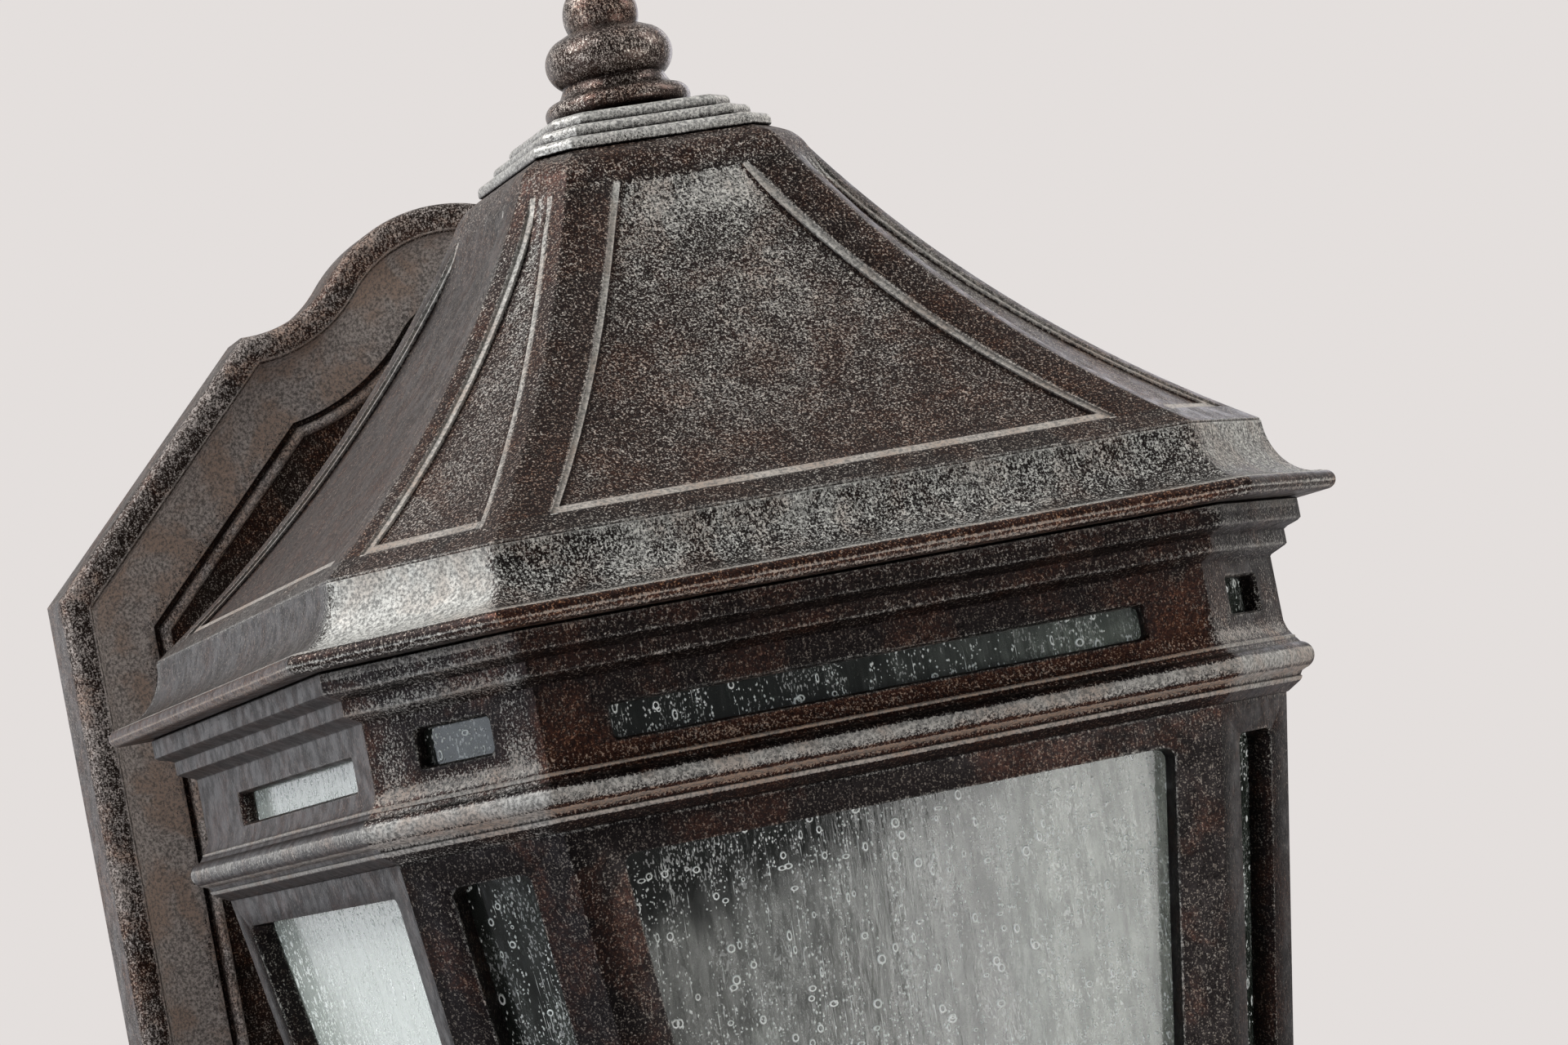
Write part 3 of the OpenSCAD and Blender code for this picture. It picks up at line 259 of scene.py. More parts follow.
def makeDrawnGlass():
    # Slow waves, upright streaks and pale flecks of drawn glass, under a film that may fade one way; the
    # film is partly painted light
    tree, given, out = newGroup("drawnGlass", [
        ("Streaks", floatSocket, 0.5),
        ("Flecks", floatSocket, 1.0),
        ("Deep", colorSocket, (0.025, 0.03, 0.025, 1)),
        ("Light", colorSocket, (0.33, 0.35, 0.325, 1)),
        ("Haze", floatSocket, 0.2),
        ("Fade Along", vectorSocket, (0, 0, 0)),
        ("Fade From", floatSocket, -1.5),
    ], [("Color", colorSocket), ("Roughness", floatSocket), ("Height", floatSocket)])
    place = put(tree, "ShaderNodeTexCoord").outputs["Object"]
    streaks = grain(tree, stretched(tree, place, (300, 300, 10)), 1.0, 4.0, 0.65)
    waves = grain(tree, stretched(tree, place, (30, 30, 12)), 1.0, 1.0, 0.4)
    haze = grain(tree, stretched(tree, place, (900, 900, 70)), 1.0, 3.0, 0.7)
    clusters = grain(tree, stretched(tree, place, (170, 170, 60)), 1.0, 3.0, 0.6)
    chips = grain(tree, stretched(tree, place, (2100, 2100, 900)), 1.0, 1.0, 0.5)
    far = put(tree, "ShaderNodeVectorMath", {0: place, 1: given["Fade Along"]}, operation="DOT_PRODUCT")
    fade = calc(tree, "SUBTRACT", far.outputs["Value"], given["Fade From"])
    fade = calc(tree, "MULTIPLY_ADD", calc(tree, "SUBTRACT", clusters, 0.5), 1.2, fade)
    fade = remap(tree, fade, 0.0, 1.0)
    level = remap(tree, calc(tree, "MULTIPLY_ADD", haze, 0.5, calc(tree, "MULTIPLY", streaks, 0.5)),
                  0.40, 0.60, 0.45, 1.0)
    color = mixColor(tree, calc(tree, "MULTIPLY", level, fade), given["Deep"], given["Light"])
    limit = remap(tree, clusters, 0.38, 0.62, 0.76, 0.55)
    chip = remap(tree, calc(tree, "SUBTRACT", chips, limit), 0.0, 0.04)
    chip = calc(tree, "MULTIPLY", chip, calc(tree, "MULTIPLY_ADD", fade, -0.2, 1.0))
    chip = calc(tree, "MULTIPLY", chip, given["Flecks"], clamp=True)
    color = mixColor(tree, chip, color, (0.93, 0.95, 0.92, 1))
    rough = put(tree, "ShaderNodeMapRange", {0: haze, 1: 0.35, 2: 0.7, 3: 0.03, 4: given["Haze"]})
    height = calc(tree, "MULTIPLY_ADD", streaks, given["Streaks"], waves)
    return giveOut(tree, out, Color=color, Roughness=rough.outputs[0], Height=height)


castSurface = makeCastSurface()
plainGrain = makePlainGrain()
drawnGlass = makeDrawnGlass()


def newMaterial(name, group, values, shader, bump=(0.45, 0.0003)):
    # A Principled shader fed by one of the groups; plain numbers go on the shader's own sockets
    material = bpy.data.materials.new(name)
    material.use_nodes = True
    tree = material.node_tree
    principled = tree.nodes["Principled BSDF"]
    effect = put(tree, "ShaderNodeGroup", values, node_tree=group)
    for key, value in shader.items():
        principled.inputs[key].default_value = value
    tree.links.new(effect.outputs["Color"], principled.inputs["Base Color"])
    tree.links.new(effect.outputs["Roughness"], principled.inputs["Roughness"])
    strength, distance = bump
    lift = put(tree, "ShaderNodeBump", {
        "Strength": strength, "Distance": distance, "Height": effect.outputs["Height"]})
    if "Rounded" in effect.outputs:
        tree.links.new(effect.outputs["Rounded"], lift.inputs["Normal"])
        tree.links.new(effect.outputs["Metallic"], principled.inputs["Metallic"])
    tree.links.new(lift.outputs[0], principled.inputs["Normal"])
    material.diffuse_color = (0.25, 0.2, 0.18, 1)
    return material


def clearForShadows(material):
    # Light passes the glass as it does in a studio, without slow caustics
    tree = material.node_tree
    glass = tree.nodes["Principled BSDF"].outputs[0]
    through = put(tree, "ShaderNodeBsdfTransparent", {"Color": (0.86, 0.9, 0.88, 1)}).outputs[0]
    shadow = put(tree, "ShaderNodeLightPath").outputs["Is Shadow Ray"]
    mix = put(tree, "ShaderNodeMixShader", {0: shadow, 1: glass, 2: through})
    tree.links.new(mix.outputs[0], tree.nodes["Material Output"].inputs["Surface"])
    return material


castShader = {"Specular IOR Level": 0.45}
roofCast = newMaterial("roofCast", castSurface, {
    "Rubbed": 0.0, "Edges": 0.7, "Rust": 0.4, "Dust": 0.9}, castShader)
bodyCast = newMaterial("bodyCast", castSurface, {
    "Rubbed": -0.12, "Edges": 0.6, "Rust": 0.5, "Dust": 0.4, "Dark": (0.008, 0.006, 0.006, 1),
    "Pale": (0.34, 0.33, 0.305, 1)}, castShader)
plateCast = newMaterial("plateCast", castSurface, {
    "Rubbed": 0.05, "Edges": 0.6, "Rust": 0.8, "Dust": 1.0, "Dark": (0.030, 0.020, 0.016, 1),
    "Pale": (0.34, 0.295, 0.265, 1)}, castShader)
collarCast = newMaterial("collarCast", castSurface, {
    "Rubbed": 0.6, "Edges": 0.5, "Rust": 0.1, "Polish": 0.12, "Metal": 0.45, "Grain Scale": 3000.0,
    "Pale": (0.52, 0.505, 0.47, 1)}, castShader)
finialCast = newMaterial("finialCast", castSurface, {
    "Rubbed": 0.30, "Edges": 0.3, "Rust": 0.8, "Polish": 0.26, "Metal": 0.8, "Grain Scale": 3400.0,
    "Dark": (0.045, 0.028, 0.022, 1), "Pale": (0.50, 0.44, 0.39, 1)}, {"Specular IOR Level": 0.6})


def makeGlass(name, values, transmission=0.7):
    shader = {"Transmission Weight": transmission, "IOR": 1.45, "Metallic": 0.0}
    look = {"Streaks": 0.4, "Haze": 0.24, **values}
    return clearForShadows(newMaterial(name, drawnGlass, look, shader, (0.2, 0.0006)))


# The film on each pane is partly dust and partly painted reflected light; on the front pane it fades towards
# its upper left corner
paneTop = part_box("pane_front")[1].z
frontGlass = makeGlass("frontGlass", {
    "Haze": 0.14, "Fade Along": (14, 0, -60), "Fade From": -0.05 - 60 * paneTop,
    "Light": (0.60, 0.61, 0.58, 1)})
# Painted reflected light: the film on the frieze's front pane grows paler towards the right
friezeGlass = makeGlass("friezeGlass", {
    "Fade Along": (14, 0, 0), "Fade From": -0.3, "Light": (0.26, 0.29, 0.26, 1)})
cornerGlass = makeGlass("cornerGlass", {"Fade From": -0.3, "Light": (0.22, 0.25, 0.22, 1)})
# A pale film on the side panes, partly dust and partly painted reflected light
sideGlass = makeGlass("sideGlass", {
    "Flecks": 0.6, "Deep": (0.62, 0.67, 0.61, 1), "Light": (0.86, 0.90, 0.85, 1)}, 0.6)
bulbGlass = clearForShadows(newMaterial(
    "bulbGlass", drawnGlass, {"Streaks": 0.05, "Flecks": 0.0, "Haze": 0.04, "Deep": (0.95, 0.97, 0.96, 1),
                              "Light": (0.98, 0.99, 0.98, 1)},
    {"Transmission Weight": 1.0, "IOR": 1.45, "Metallic": 0.0}, (0.05, 0.0005)))


def makePlain(name, first, second, scale, rough, shader, stretch=(1, 1, 1)):
    return newMaterial(name, plainGrain, {
        "First": (*first, 1), "Second": (*second, 1), "Grain Scale": scale, "Stretch": stretch,
        "Rough Low": rough[0], "Rough High": rough[1]}, shader)


seedWhite = makePlain(
    "seedRims", (0.93, 0.95, 0.92), (0.74, 0.78, 0.74), 900.0, (0.15, 0.35),
    {"Metallic": 0.0, "Coat Weight": 0.4})
steelShader = {"Metallic": 1.0}
plasticShader = {"Metallic": 0.0}
zincSteel = makePlain("zincSteel", (0.62, 0.62, 0.60), (0.48, 0.49, 0.50), 320.0, (0.26, 0.46), steelShader)
earthGreen = makePlain(
    "earthGreen", (0.10, 0.34, 0.14), (0.16, 0.44, 0.18), 500.0, (0.25, 0.4), {"Metallic": 0.7})
capBrass = makePlain("capBrass", (0.78, 0.60, 0.30), (0.62, 0.46, 0.22), 260.0, (0.2, 0.38), steelShader)
clusterBronze = makePlain(
    "clusterBronze", (0.20, 0.13, 0.08), (0.11, 0.075, 0.05), 300.0, (0.28, 0.5), {"Metallic": 0.85})
ivorySleeve = makePlain(
    "ivorySleeve", (0.80, 0.74, 0.60), (0.74, 0.67, 0.52), 240.0, (0.45, 0.6), plasticShader, (1, 1, 0.2))
blackSocket = makePlain(
    "blackSocket", (0.02, 0.02, 0.02), (0.035, 0.034, 0.033), 700.0, (0.35, 0.5), plasticShader)
print("materials made")


# Mesh helpers


def link(piece):
    bpy.context.scene.collection.objects.link(piece)
    return piece


def cleanMesh(mesh, angle=35.0):
    work = bmesh.new()
    work.from_mesh(mesh)
    bmesh.ops.remove_doubles(work, verts=work.verts, dist=1e-6)
    bmesh.ops.recalc_face_normals(work, faces=work.faces)
    work.to_mesh(mesh)
    work.free()
    mesh.polygons.foreach_set("use_smooth", [True] * len(mesh.polygons))
    mesh.set_sharp_from_angle(angle=math.radians(angle))


def newPiece(name, points, faces, material, wearAndPaintedLight=(), rust=()):
    # The pale-rubbing values on a point also carry painted light and shade; rust lays more of the red-brown
    mesh = bpy.data.meshes.new(name)
    mesh.from_pydata(points, [], faces)
    for label, values in (("wearAndPaintedLight", wearAndPaintedLight), ("rust", rust)):
        if values:
            mesh.attributes.new(label, "FLOAT", "POINT").data.foreach_set("value", values)
    cleanMesh(mesh)
    mesh.materials.append(material)
    return link(bpy.data.objects.new(name, mesh))


def applied(piece):
    # Turns the modifiers of a piece into its mesh
    depsgraph = bpy.context.evaluated_depsgraph_get()
    mesh = bpy.data.meshes.new_from_object(piece.evaluated_get(depsgraph))
    piece.modifiers.clear()
    piece.data = mesh
    mesh.name = piece.name
    return piece


def cutAway(piece, points, faces):
    # Cuts a closed shape out of a piece
    mesh = bpy.data.meshes.new("cutter")
    mesh.from_pydata(points, [], faces)
    cleanMesh(mesh)
    cutter = link(bpy.data.objects.new("cutter", mesh))
    cut = piece.modifiers.new("cut", "BOOLEAN")
    cut.operation = "DIFFERENCE"
    cut.solver = "EXACT"
    cut.object = cutter
    applied(piece)
    bpy.data.objects.remove(cutter)
    cleanMesh(piece.data)


def ringFaces(rows, columns, closed=False):
    faces = []
    for row in range(rows if closed else rows - 1):
        low, high = row * columns, (row + 1) % rows * columns
        for column in range(columns):
            after = (column + 1) % columns
            faces.append((low + column, low + after, high + after, high + column))
    return faces


def cappedFaces(rows, columns):
    # A tube of rings with both its ends closed
    last = (rows - 1) * columns
    ends = [tuple(range(columns)), tuple(reversed(range(last, last + columns)))]
    return ringFaces(rows, columns) + ends


def along(table, value):
    # Straight-line reading of a table of (place, amount)
    if value <= table[0][0]:
        return table[0][1]
    for (before, first), (after, second) in zip(table, table[1:]):
        if value <= after:
            return first + (second - first) * (value - before) / max(after - before, 1e-9)
    return table[-1][1]


def curveThrough(points, steps):
    # Smooth path through the points, all of them kept
    path = []
    for i in range(len(points) - 1):
        before = Vector(points[max(i - 1, 0)])
        start, end = Vector(points[i]), Vector(points[i + 1])
        after = Vector(points[min(i + 2, len(points) - 1)])
        for k in range(steps):
            t = k / steps
            path.append(tuple(0.5 * (
                2 * start + (end - before) * t + (2 * before - 5 * start + 4 * end - after) * t * t
                + (3 * start - before - 3 * end + after) * t ** 3)))
    path.append(tuple(points[-1]))
    return path


def arc(centre, radius, first, last, steps):
    angles = [math.radians(first + (last - first) * i / steps) for i in range(steps + 1)]
    return [(centre[0] + radius * math.cos(a), centre[1] + radius * math.sin(a)) for a in angles]


# Sides of a plan, from the wall round the lantern's front and back to the wall
leftSide, leftChamfer, frontSide, rightChamfer, rightSide, wallSide = range(6)
chamfers = (leftChamfer, rightChamfer)


def planCorners(half, cut, back):
    return [Vector(p) for p in (
        (-half, back), (-half, cut - half), (cut - half, -half),
        (half - cut, -half), (half, cut - half), (half, back))]


def planRing(corners, z, radius, offsets, middles, sink=None):
    # One level ring round a six-sided plan. Each corner is an arc; each side has columns at fixed
    # distances from its two corners, and sink(side, distance) moves a column inwards.
    count = len(corners)
    points = []
    for side in range(count):
        corner, end = corners[side], corners[(side + 1) % count]
        arrive = (corner - corners[side - 1]).normalized()
        leave = (end - corner).normalized()
        turn = arrive.angle_signed(leave) * -1
        tangent = radius * math.tan(turn / 2)
        inward = Vector((-arrive.y, arrive.x))
        centre = corner - arrive * tangent + inward * radius
        for k in range(5):
            angle = turn * k / 4
            spoke = -inward
            points.append(centre + radius * Vector((
                spoke.x * math.cos(angle) - spoke.y * math.sin(angle),
                spoke.x * math.sin(angle) + spoke.y * math.cos(angle))))
        length = (end - corner).length
        nominal = offsets[side]
        reach = length / 2 * 0.97
        scale = min(1.0, reach / nominal[-1])
        places = [(o, max(o * scale, tangent * 1.05)) for o in nominal]
        spread = length - 2 * places[-1][1]
        steps = middles[side]
        row = places + [(1e3, places[-1][1] + spread * (k + 1) / (steps + 1)) for k in range(steps)]
        row += [(o, length - place) for o, place in reversed(places)]
        inside = Vector((-leave.y, leave.x))
        for o, place in row:
            point = corner + leave * place
            if sink:
                point = point + inside * sink(side, o)
            points.append(point)
    return [Vector((p.x, p.y, z)) for p in points]


def onLantern(rings):
    return [lantern["centre"] + point * mm for ring in rings for point in ring]


def circleFrom(ring, radius, z):
    # A round ring with the same number of points as a plan ring, each in the same direction
    return [Vector((p.x, p.y, 0)).normalized() * radius + Vector((0, 0, z)) for p in ring]


# A corner's cut grows by this share of what its plan grows, so that all the sides move out alike
cornerGrowth = 2 - math.sqrt(2)

# Roof: hollow bell with a beaded lip, a hollow moulding and sunk panels
roofForm = {
    "lipHalf": 130.0, "bead": 2.3, "coveWidth": 11.0, "coveHeight": 14.5,
    "footHalf": 116.4, "neckHalf": 37.6, "bellTop": 106.5, "bellRadius": 310.0,
    "crownHalf": 30.6, "crownZ": 113.8, "footCut": 31.0, "crownCut": 7.5, "back": 1.06,
    "wall": 6.0, "margin": 12.0, "cornerMargin": 4.5,
    "panelLow": 22.0, "panelHigh": 103.9, "studHole": 3.55,
}
roofForm["coveTop"] = roofForm["bead"] + 0.2 + roofForm["coveHeight"]


def roofCut(half):
    form = roofForm
    if half > form["footHalf"]:
        return form["footCut"] + cornerGrowth * (half - form["footHalf"])
    share = (half - form["crownHalf"]) / (form["footHalf"] - form["crownHalf"])
    return form["crownCut"] + (form["footCut"] - form["crownCut"]) * share


def bellHalf(z):
    form = roofForm
    start = Vector((form["footHalf"] - 0.7, form["coveTop"] + 1))
    end = Vector((form["neckHalf"], form["bellTop"]))
    chord = end - start
    reach = math.sqrt(form["bellRadius"] ** 2 - chord.length ** 2 / 4)
    centre = (start + end) / 2 + Vector((chord.y, -chord.x)).normalized() * reach
    return centre.x - math.sqrt(form["bellRadius"] ** 2 - (z - centre.y) ** 2)


# Tones of the lip from its underside to its top: pale rubbing and red-brown
lipWear = [(-1.0, -0.2), (-0.75, 0.5), (-0.55, 0.4), (-0.4, -0.4), (-0.25, 0.7), (-0.05, 0.6), (0.1, -0.4),
           (0.75, -0.4), (0.9, 0.5), (1.0, 1.2)]
lipRust = [(-1.0, 0.5), (-0.5, 0.9), (0.8, 0.9), (1.0, 0.1)]
# Painted light in the hollow moulding, side by side: a painted highlight on the corners and painted shade on
# the left and right sides, given as more or less rubbing
coveSideLight = (-0.6, 0.6, 0.0, 0.15, -0.3, 0.0)


def buildRoof():
    form = roofForm
    lip, bead, foot = form["lipHalf"], form["bead"], form["footHalf"]
    # Rows of half width, height, corner radius, wear and rust, from under the lip to the crown
    rows = [(half, z, 1.0, along(lipWear, z / bead), along(lipRust, z / bead)) for half, z in
            arc((lip - bead, 0), bead, -90, 90, 18)]
    rows.append((lip - 2.55, bead + 0.02, 1.0, 0.4, 0.3))
    rows.append((lip - 2.6, bead + 0.2, 1.0, 1.1, 0.0))
    for k in range(1, 15):
        t = math.radians(90 * k / 14)
        rows.append((foot + form["coveWidth"] * (1 - math.sin(t)),
                     bead + 0.2 + form["coveHeight"] * (1 - math.cos(t)), 1.0, 0.2 + 0.2 * math.sin(t), 0.0))
    rows.append((foot - 0.25, form["coveTop"] + 0.12, 1.1, 0.0, 0.0))
    low, high = form["panelLow"], form["panelHigh"]
    heights = [form["coveTop"] + 0.6, form["coveTop"] + 2.2, low - 0.9, low - 0.3, low, low + 0.15,
               low + 1.5, low + 1.8, low + 3.4]
    heights += [low + 3.4 + (high - 16 - low - 3.4) * k / 18 for k in range(1, 19)]
    heights += [high - 13, high - 10, high - 7, high - 4.5, high - 3, high - 1.5, high, high + 0.6]
    rows += [(bellHalf(z), z, 1.3, 0.1, 0.1) for z in heights]
    shoulder = curveThrough([
        (form["neckHalf"], form["bellTop"]), (form["neckHalf"] - 1.2, form["bellTop"] + 2.55),
        (form["neckHalf"] - 3.4, form["bellTop"] + 5.1), (form["crownHalf"], form["crownZ"])], 4)
    rows += [(half, z, 1.3, 0.2, 0.45) for half, z in shoulder]

    rowDepth = [(low - 0.3, 0), (low, 0.1), (low + 0.15, 1.1), (low + 1.5, 1.2), (low + 1.8, 2.4),
                (high - 16, 2.4), (high - 8, 1.7), (high, 0)]
    steps = [(-0.35, 0), (0, 0.12), (0.15, 1.0), (1.7, 1.1), (2.0, 2.4), (3.6, 2.4)]
    margins = [form["cornerMargin"] if side in chamfers else form["margin"] for side in range(6)]
    offsets = [[margin + step for step, depth in steps] for margin in margins]
    middles = [1 if side in chamfers else 7 for side in range(6)]
    rings, wearAndPaintedLight, rust = [], [], []
    for half, z, radius, wornAndLit, rusty in rows:
        depthHere = along(rowDepth, z) if low - 0.3 < z < high else 0.0

        def sink(side, offset, depthHere=depthHere):
            if side == wallSide or not depthHere:
                return 0.0
            return min(depthHere, along(steps, offset - margins[side]))

        corners = planCorners(half, roofCut(half), half * form["back"])
        rings.append(planRing(corners, z, radius, offsets, middles, sink))
        for side in range(6):
            wearAndPaintedLight += [wornAndLit] * 5
            marks = [o - margins[side] for o in offsets[side]]
            marks = marks + [9] * middles[side] + marks[::-1]
            for place, mark in enumerate(marks):
                # Painted light on the hollow moulding, by side
                extra = coveSideLight[side] if bead < z <= form["coveTop"] else 0.0
                if depthHere and side != wallSide:
                    # Pale arris round the sunk panel, painted shade at the foot of its step, field that
                    # darkens downwards
                    field = 0.05 + 0.25 * (z - low) / (high - low)
                    # Painted shade: the left and right sides are darker
                    if side in (leftSide, rightSide):
                        field = -0.3
                    # Painted highlight: the top of the field, lit from above, is paler
                    if z > high - 13:
                        field += 0.12
                    arris = 0.1 < mark < 1.8 or (mark > 0 and low < z < low + 1.6)
                    line = 0.5 if side in chamfers and place > len(offsets[side]) else 1.4
                    extra = line if arris else -0.2 if mark < 2.05 else field
                wearAndPaintedLight.append(wornAndLit + extra)
        if low < z < high - 20:
            rusty += 0.35 * (1 - (z - low) / (high - low))
        for side in range(6):
            # The lip is red-brown in front, bare and blue-grey at the corners
            share = 0.1 if side in chamfers and z <= bead + 0.2 else 1.0
            rust += [rusty * share] * (5 + 2 * len(offsets[side]) + middles[side])
    crown = rings[-1]
    rings.append([p * 0.55 + Vector((0, 0, form["crownZ"] * 0.45)) for p in crown])
    rings.append(circleFrom(crown, form["studHole"], form["crownZ"]))
    rings.append(circleFrom(crown, form["studHole"], form["bellTop"] - 1))
    # The hollow inside, from its ceiling down to the lip
    wall = form["wall"]
    heights = [form["bellTop"] - (form["bellTop"] - form["coveTop"] - 1) * k / 14 for k in range(15)]
    for outer, z in [(bellHalf(z), z - 1) for z in heights] + [(foot, -bead)]:
        cut = roofCut(outer) - cornerGrowth * wall / 2
        corners = planCorners(outer - wall, cut, outer * form["back"] - wall)
        rings.append(planRing(corners, z, 1.0, offsets, middles))
    columns = len(crown)
    wearAndPaintedLight += [-0.2] * (columns * len(rings) - len(wearAndPaintedLight))
    rust += [0.0] * (len(wearAndPaintedLight) - len(rust))
    return newPiece("roof_casting", onLantern(rings), ringFaces(len(rings), columns, True), roofCast,
                    wearAndPaintedLight, rust)


roofPiece = buildRoof()
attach(roofPiece, "roof")
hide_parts("roof")
print("roof built")

# Collar: three cushion tiers on the crown
collarForm = {"half": 30.9, "tier": 3.4, "step": 3.8, "lift": 0.2}


def buildCollar():
    form = collarForm
    cushion = [(0.6, 0.0, -0.9), (0.2, 0.15, -0.7), (0.0, 0.5, 0.0), (0.0, 1.6, 0.1), (0.06, 2.1, 0.2),
               (0.3, 2.65, 0.3), (0.75, 3.05, 0.3), (1.4, 3.3, 0.2), (2.6, 3.4, -0.1)]
    rings, wearAndPaintedLight = [], []
    offsets = [[2.0]] * 6
    middles = [2] * 6
    base = roofForm["crownZ"] + form["lift"]
    for tier in range(3):
        for inset, z, wornAndLit in cushion:
            half = form["half"] - tier * form["step"] - inset
            cut = roofForm["crownCut"] * half / roofForm["crownHalf"]
            corners = planCorners(half, cut, half * roofForm["back"])
            rings.append(planRing(corners, base + tier * form["tier"] + z, 0.9, offsets, middles))
            wearAndPaintedLight += [wornAndLit] * len(rings[-1])
    top = base + 3 * form["tier"]
    rings.append(circleFrom(rings[-1], roofForm["studHole"], top))
    rings.append(circleFrom(rings[-1], roofForm["studHole"], base))
    columns = len(rings[0])
    wearAndPaintedLight += [0.0] * (2 * columns)
    return newPiece("collar_tiers", onLantern(rings), ringFaces(len(rings), columns, True), collarCast, wearAndPaintedLight)


collarPiece = buildCollar()
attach(collarPiece, "roof")
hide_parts("roof_collar")


# Turned pieces: a profile of radius and height, spun by Geometry Nodes
stepsRound = 96


def makeTurnedTree():
    tree, given, out = newGroup("turnedPart", [
        ("Profile", geometrySocket, None), ("Steps Round", wholeSocket, stepsRound),
        ("Surface", materialSocket, None),
    ], [("Turned", geometrySocket)], "GeometryNodeTree")
    size = put(tree, "GeometryNodeAttributeDomainSize", {"Geometry": given["Profile"]}, component="MESH")
    rows = size.outputs["Point Count"]
    across = calc(tree, "ADD", given["Steps Round"], 1)
    grid = put(tree, "GeometryNodeMeshGrid", {
        "Size X": 1.0, "Size Y": 1.0, "Vertices X": across, "Vertices Y": rows})
    index = put(tree, "GeometryNodeInputIndex").outputs[0]
    row = calc(tree, "MODULO", index, rows)
    turn = calc(tree, "FLOOR", calc(tree, "DIVIDE", calc(tree, "ADD", index, 0.5), rows))
    angle = calc(tree, "DIVIDE", calc(tree, "MULTIPLY", turn, 2 * math.pi), given["Steps Round"])
    here = put(tree, "GeometryNodeInputPosition").outputs[0]
    sample = put(tree, "GeometryNodeSampleIndex", {
        "Geometry": given["Profile"], "Value": here, "Index": row,
    }, data_type="FLOAT_VECTOR", domain="POINT")
    parts = put(tree, "ShaderNodeSeparateXYZ", {0: sample.outputs[0]}).outputs
    place = put(tree, "ShaderNodeCombineXYZ", {
        0: calc(tree, "MULTIPLY", parts[0], calc(tree, "COSINE", angle)),
        1: calc(tree, "MULTIPLY", parts[0], calc(tree, "SINE", angle)),
        2: parts[2]}).outputs[0]
    spun = put(tree, "GeometryNodeSetPosition", {"Geometry": grid.outputs["Mesh"], "Position": place})
    merged = put(tree, "GeometryNodeMergeByDistance", {"Geometry": spun.outputs[0], "Distance": 1e-6})
    real = put(tree, "GeometryNodeRealizeInstances", {"Geometry": merged.outputs[0]})
    dressed = put(tree, "GeometryNodeSetMaterial", {
        "Geometry": real.outputs[0], "Material": given["Surface"]})
    return giveOut(tree, out, Turned=dressed.outputs[0])


def fillModifier(piece, tree, values):
    # Puts a node tree on a piece and sets its inputs by their socket identifiers
    worker = piece.modifiers.new(tree.name, "NODES")
    worker.node_group = tree
    for item in tree.interface.items_tree:
        if item.item_type == "SOCKET" and item.in_out == "INPUT" and item.name in values:
            worker[item.identifier] = values[item.name]
    piece.update_tag()


turnedPart = makeTurnedTree()


def turned(name, profile, material, foot, axis="Z"):
    # Spins a profile in millimetres about an upright axis, or about one that points at the wall
    mesh = bpy.data.meshes.new(name)
    points = [(radius * mm, 0, z * mm) for radius, z in profile]
    mesh.from_pydata(points, [(i, i + 1) for i in range(len(points) - 1)], [])
    piece = link(bpy.data.objects.new(name, mesh))
    fillModifier(piece, turnedPart, {"Steps Round": stepsRound, "Surface": material})
    applied(piece)
    if axis == "Y":
        piece.data.transform(Matrix.Rotation(math.radians(-90), 4, "X"))
    piece.data.transform(Matrix.Translation(foot))
    cleanMesh(piece.data)
    return piece


# Finial: ring, neck, bulb and ball
finialForm = {
    "ring": 18.4, "bulb": 16.1, "neck": 13.7, "ball": 9.5, "ringZ": 3.2, "bulbZ": 15.4,
    "bulbHeight": 7.0, "ballZ": 26.6, "bore": 3.23, "grip": 17.0,
}


def buildFinial():
    form = finialForm
    bulbIn = form["neck"] - 5
    bulb = [(bulbIn + (form["bulb"] - bulbIn) * math.cos(math.radians(t)),
             form["bulbZ"] + form["bulbHeight"] * math.sin(math.radians(t))) for t in range(-56, 57, 7)]
    profile = [(0, form["grip"] - 0.5), (form["bore"], form["grip"] - 0.5), (form["bore"], 0),
               (form["ring"] - 1.4, 0)]
    profile += arc((form["ring"] - 3, form["ringZ"]), 3, -60, 75, 12)
    neck = [(form["neck"] + 1.3, form["ringZ"] + 3.2), (form["neck"] + 0.2, form["ringZ"] + 4.2)]
    profile += curveThrough(neck + [bulb[0]], 3)
    profile += bulb[1:]
    profile += [(form["ball"] * math.cos(math.radians(t)),
                 form["ballZ"] + form["ball"] * math.sin(math.radians(t))) for t in range(-22, 90, 7)]
    profile.append((0, form["ballZ"] + form["ball"]))
    foot = (lantern["axisX"], lantern["axisY"], finialLow.z)
    return turned("finial_turning", profile, finialCast, foot)


finialPiece = buildFinial()
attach(finialPiece, "finial")
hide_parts("finial")
print("collar and finial built")

# Frieze: moulded ring with five low windows
friezeForm = {
    "foot": -48.0, "top": -2.5, "bodyHalf": 111.0, "bodyCut": 30.5, "bead": 118.8, "beadR": 3.4,
    "wall": 113.5, "step": 121.8, "room": 106.0, "ledge": 8.0, "ledgeT": 4.0, "middle": -26.0,
    "window": 65.0, "windowH": 7.5, "corner": 9.5, "cornerH": 8.4, "cornerLift": 2.5,
    "windowR": 1.5, "flare": 0.6, "paneDepth": 4.0, "rebateDepth": 16.0, "rebateSide": 4.3,
    "rebateTop": 2.8, "cutDepth": 30.0,
}

# Painted light on each side: the corners are paler and the left, right and wall sides darker, given as more
# or less rubbing
friezeSideLight = (-0.25, 0.42, 0.0, 0.3, -0.25, -0.2)
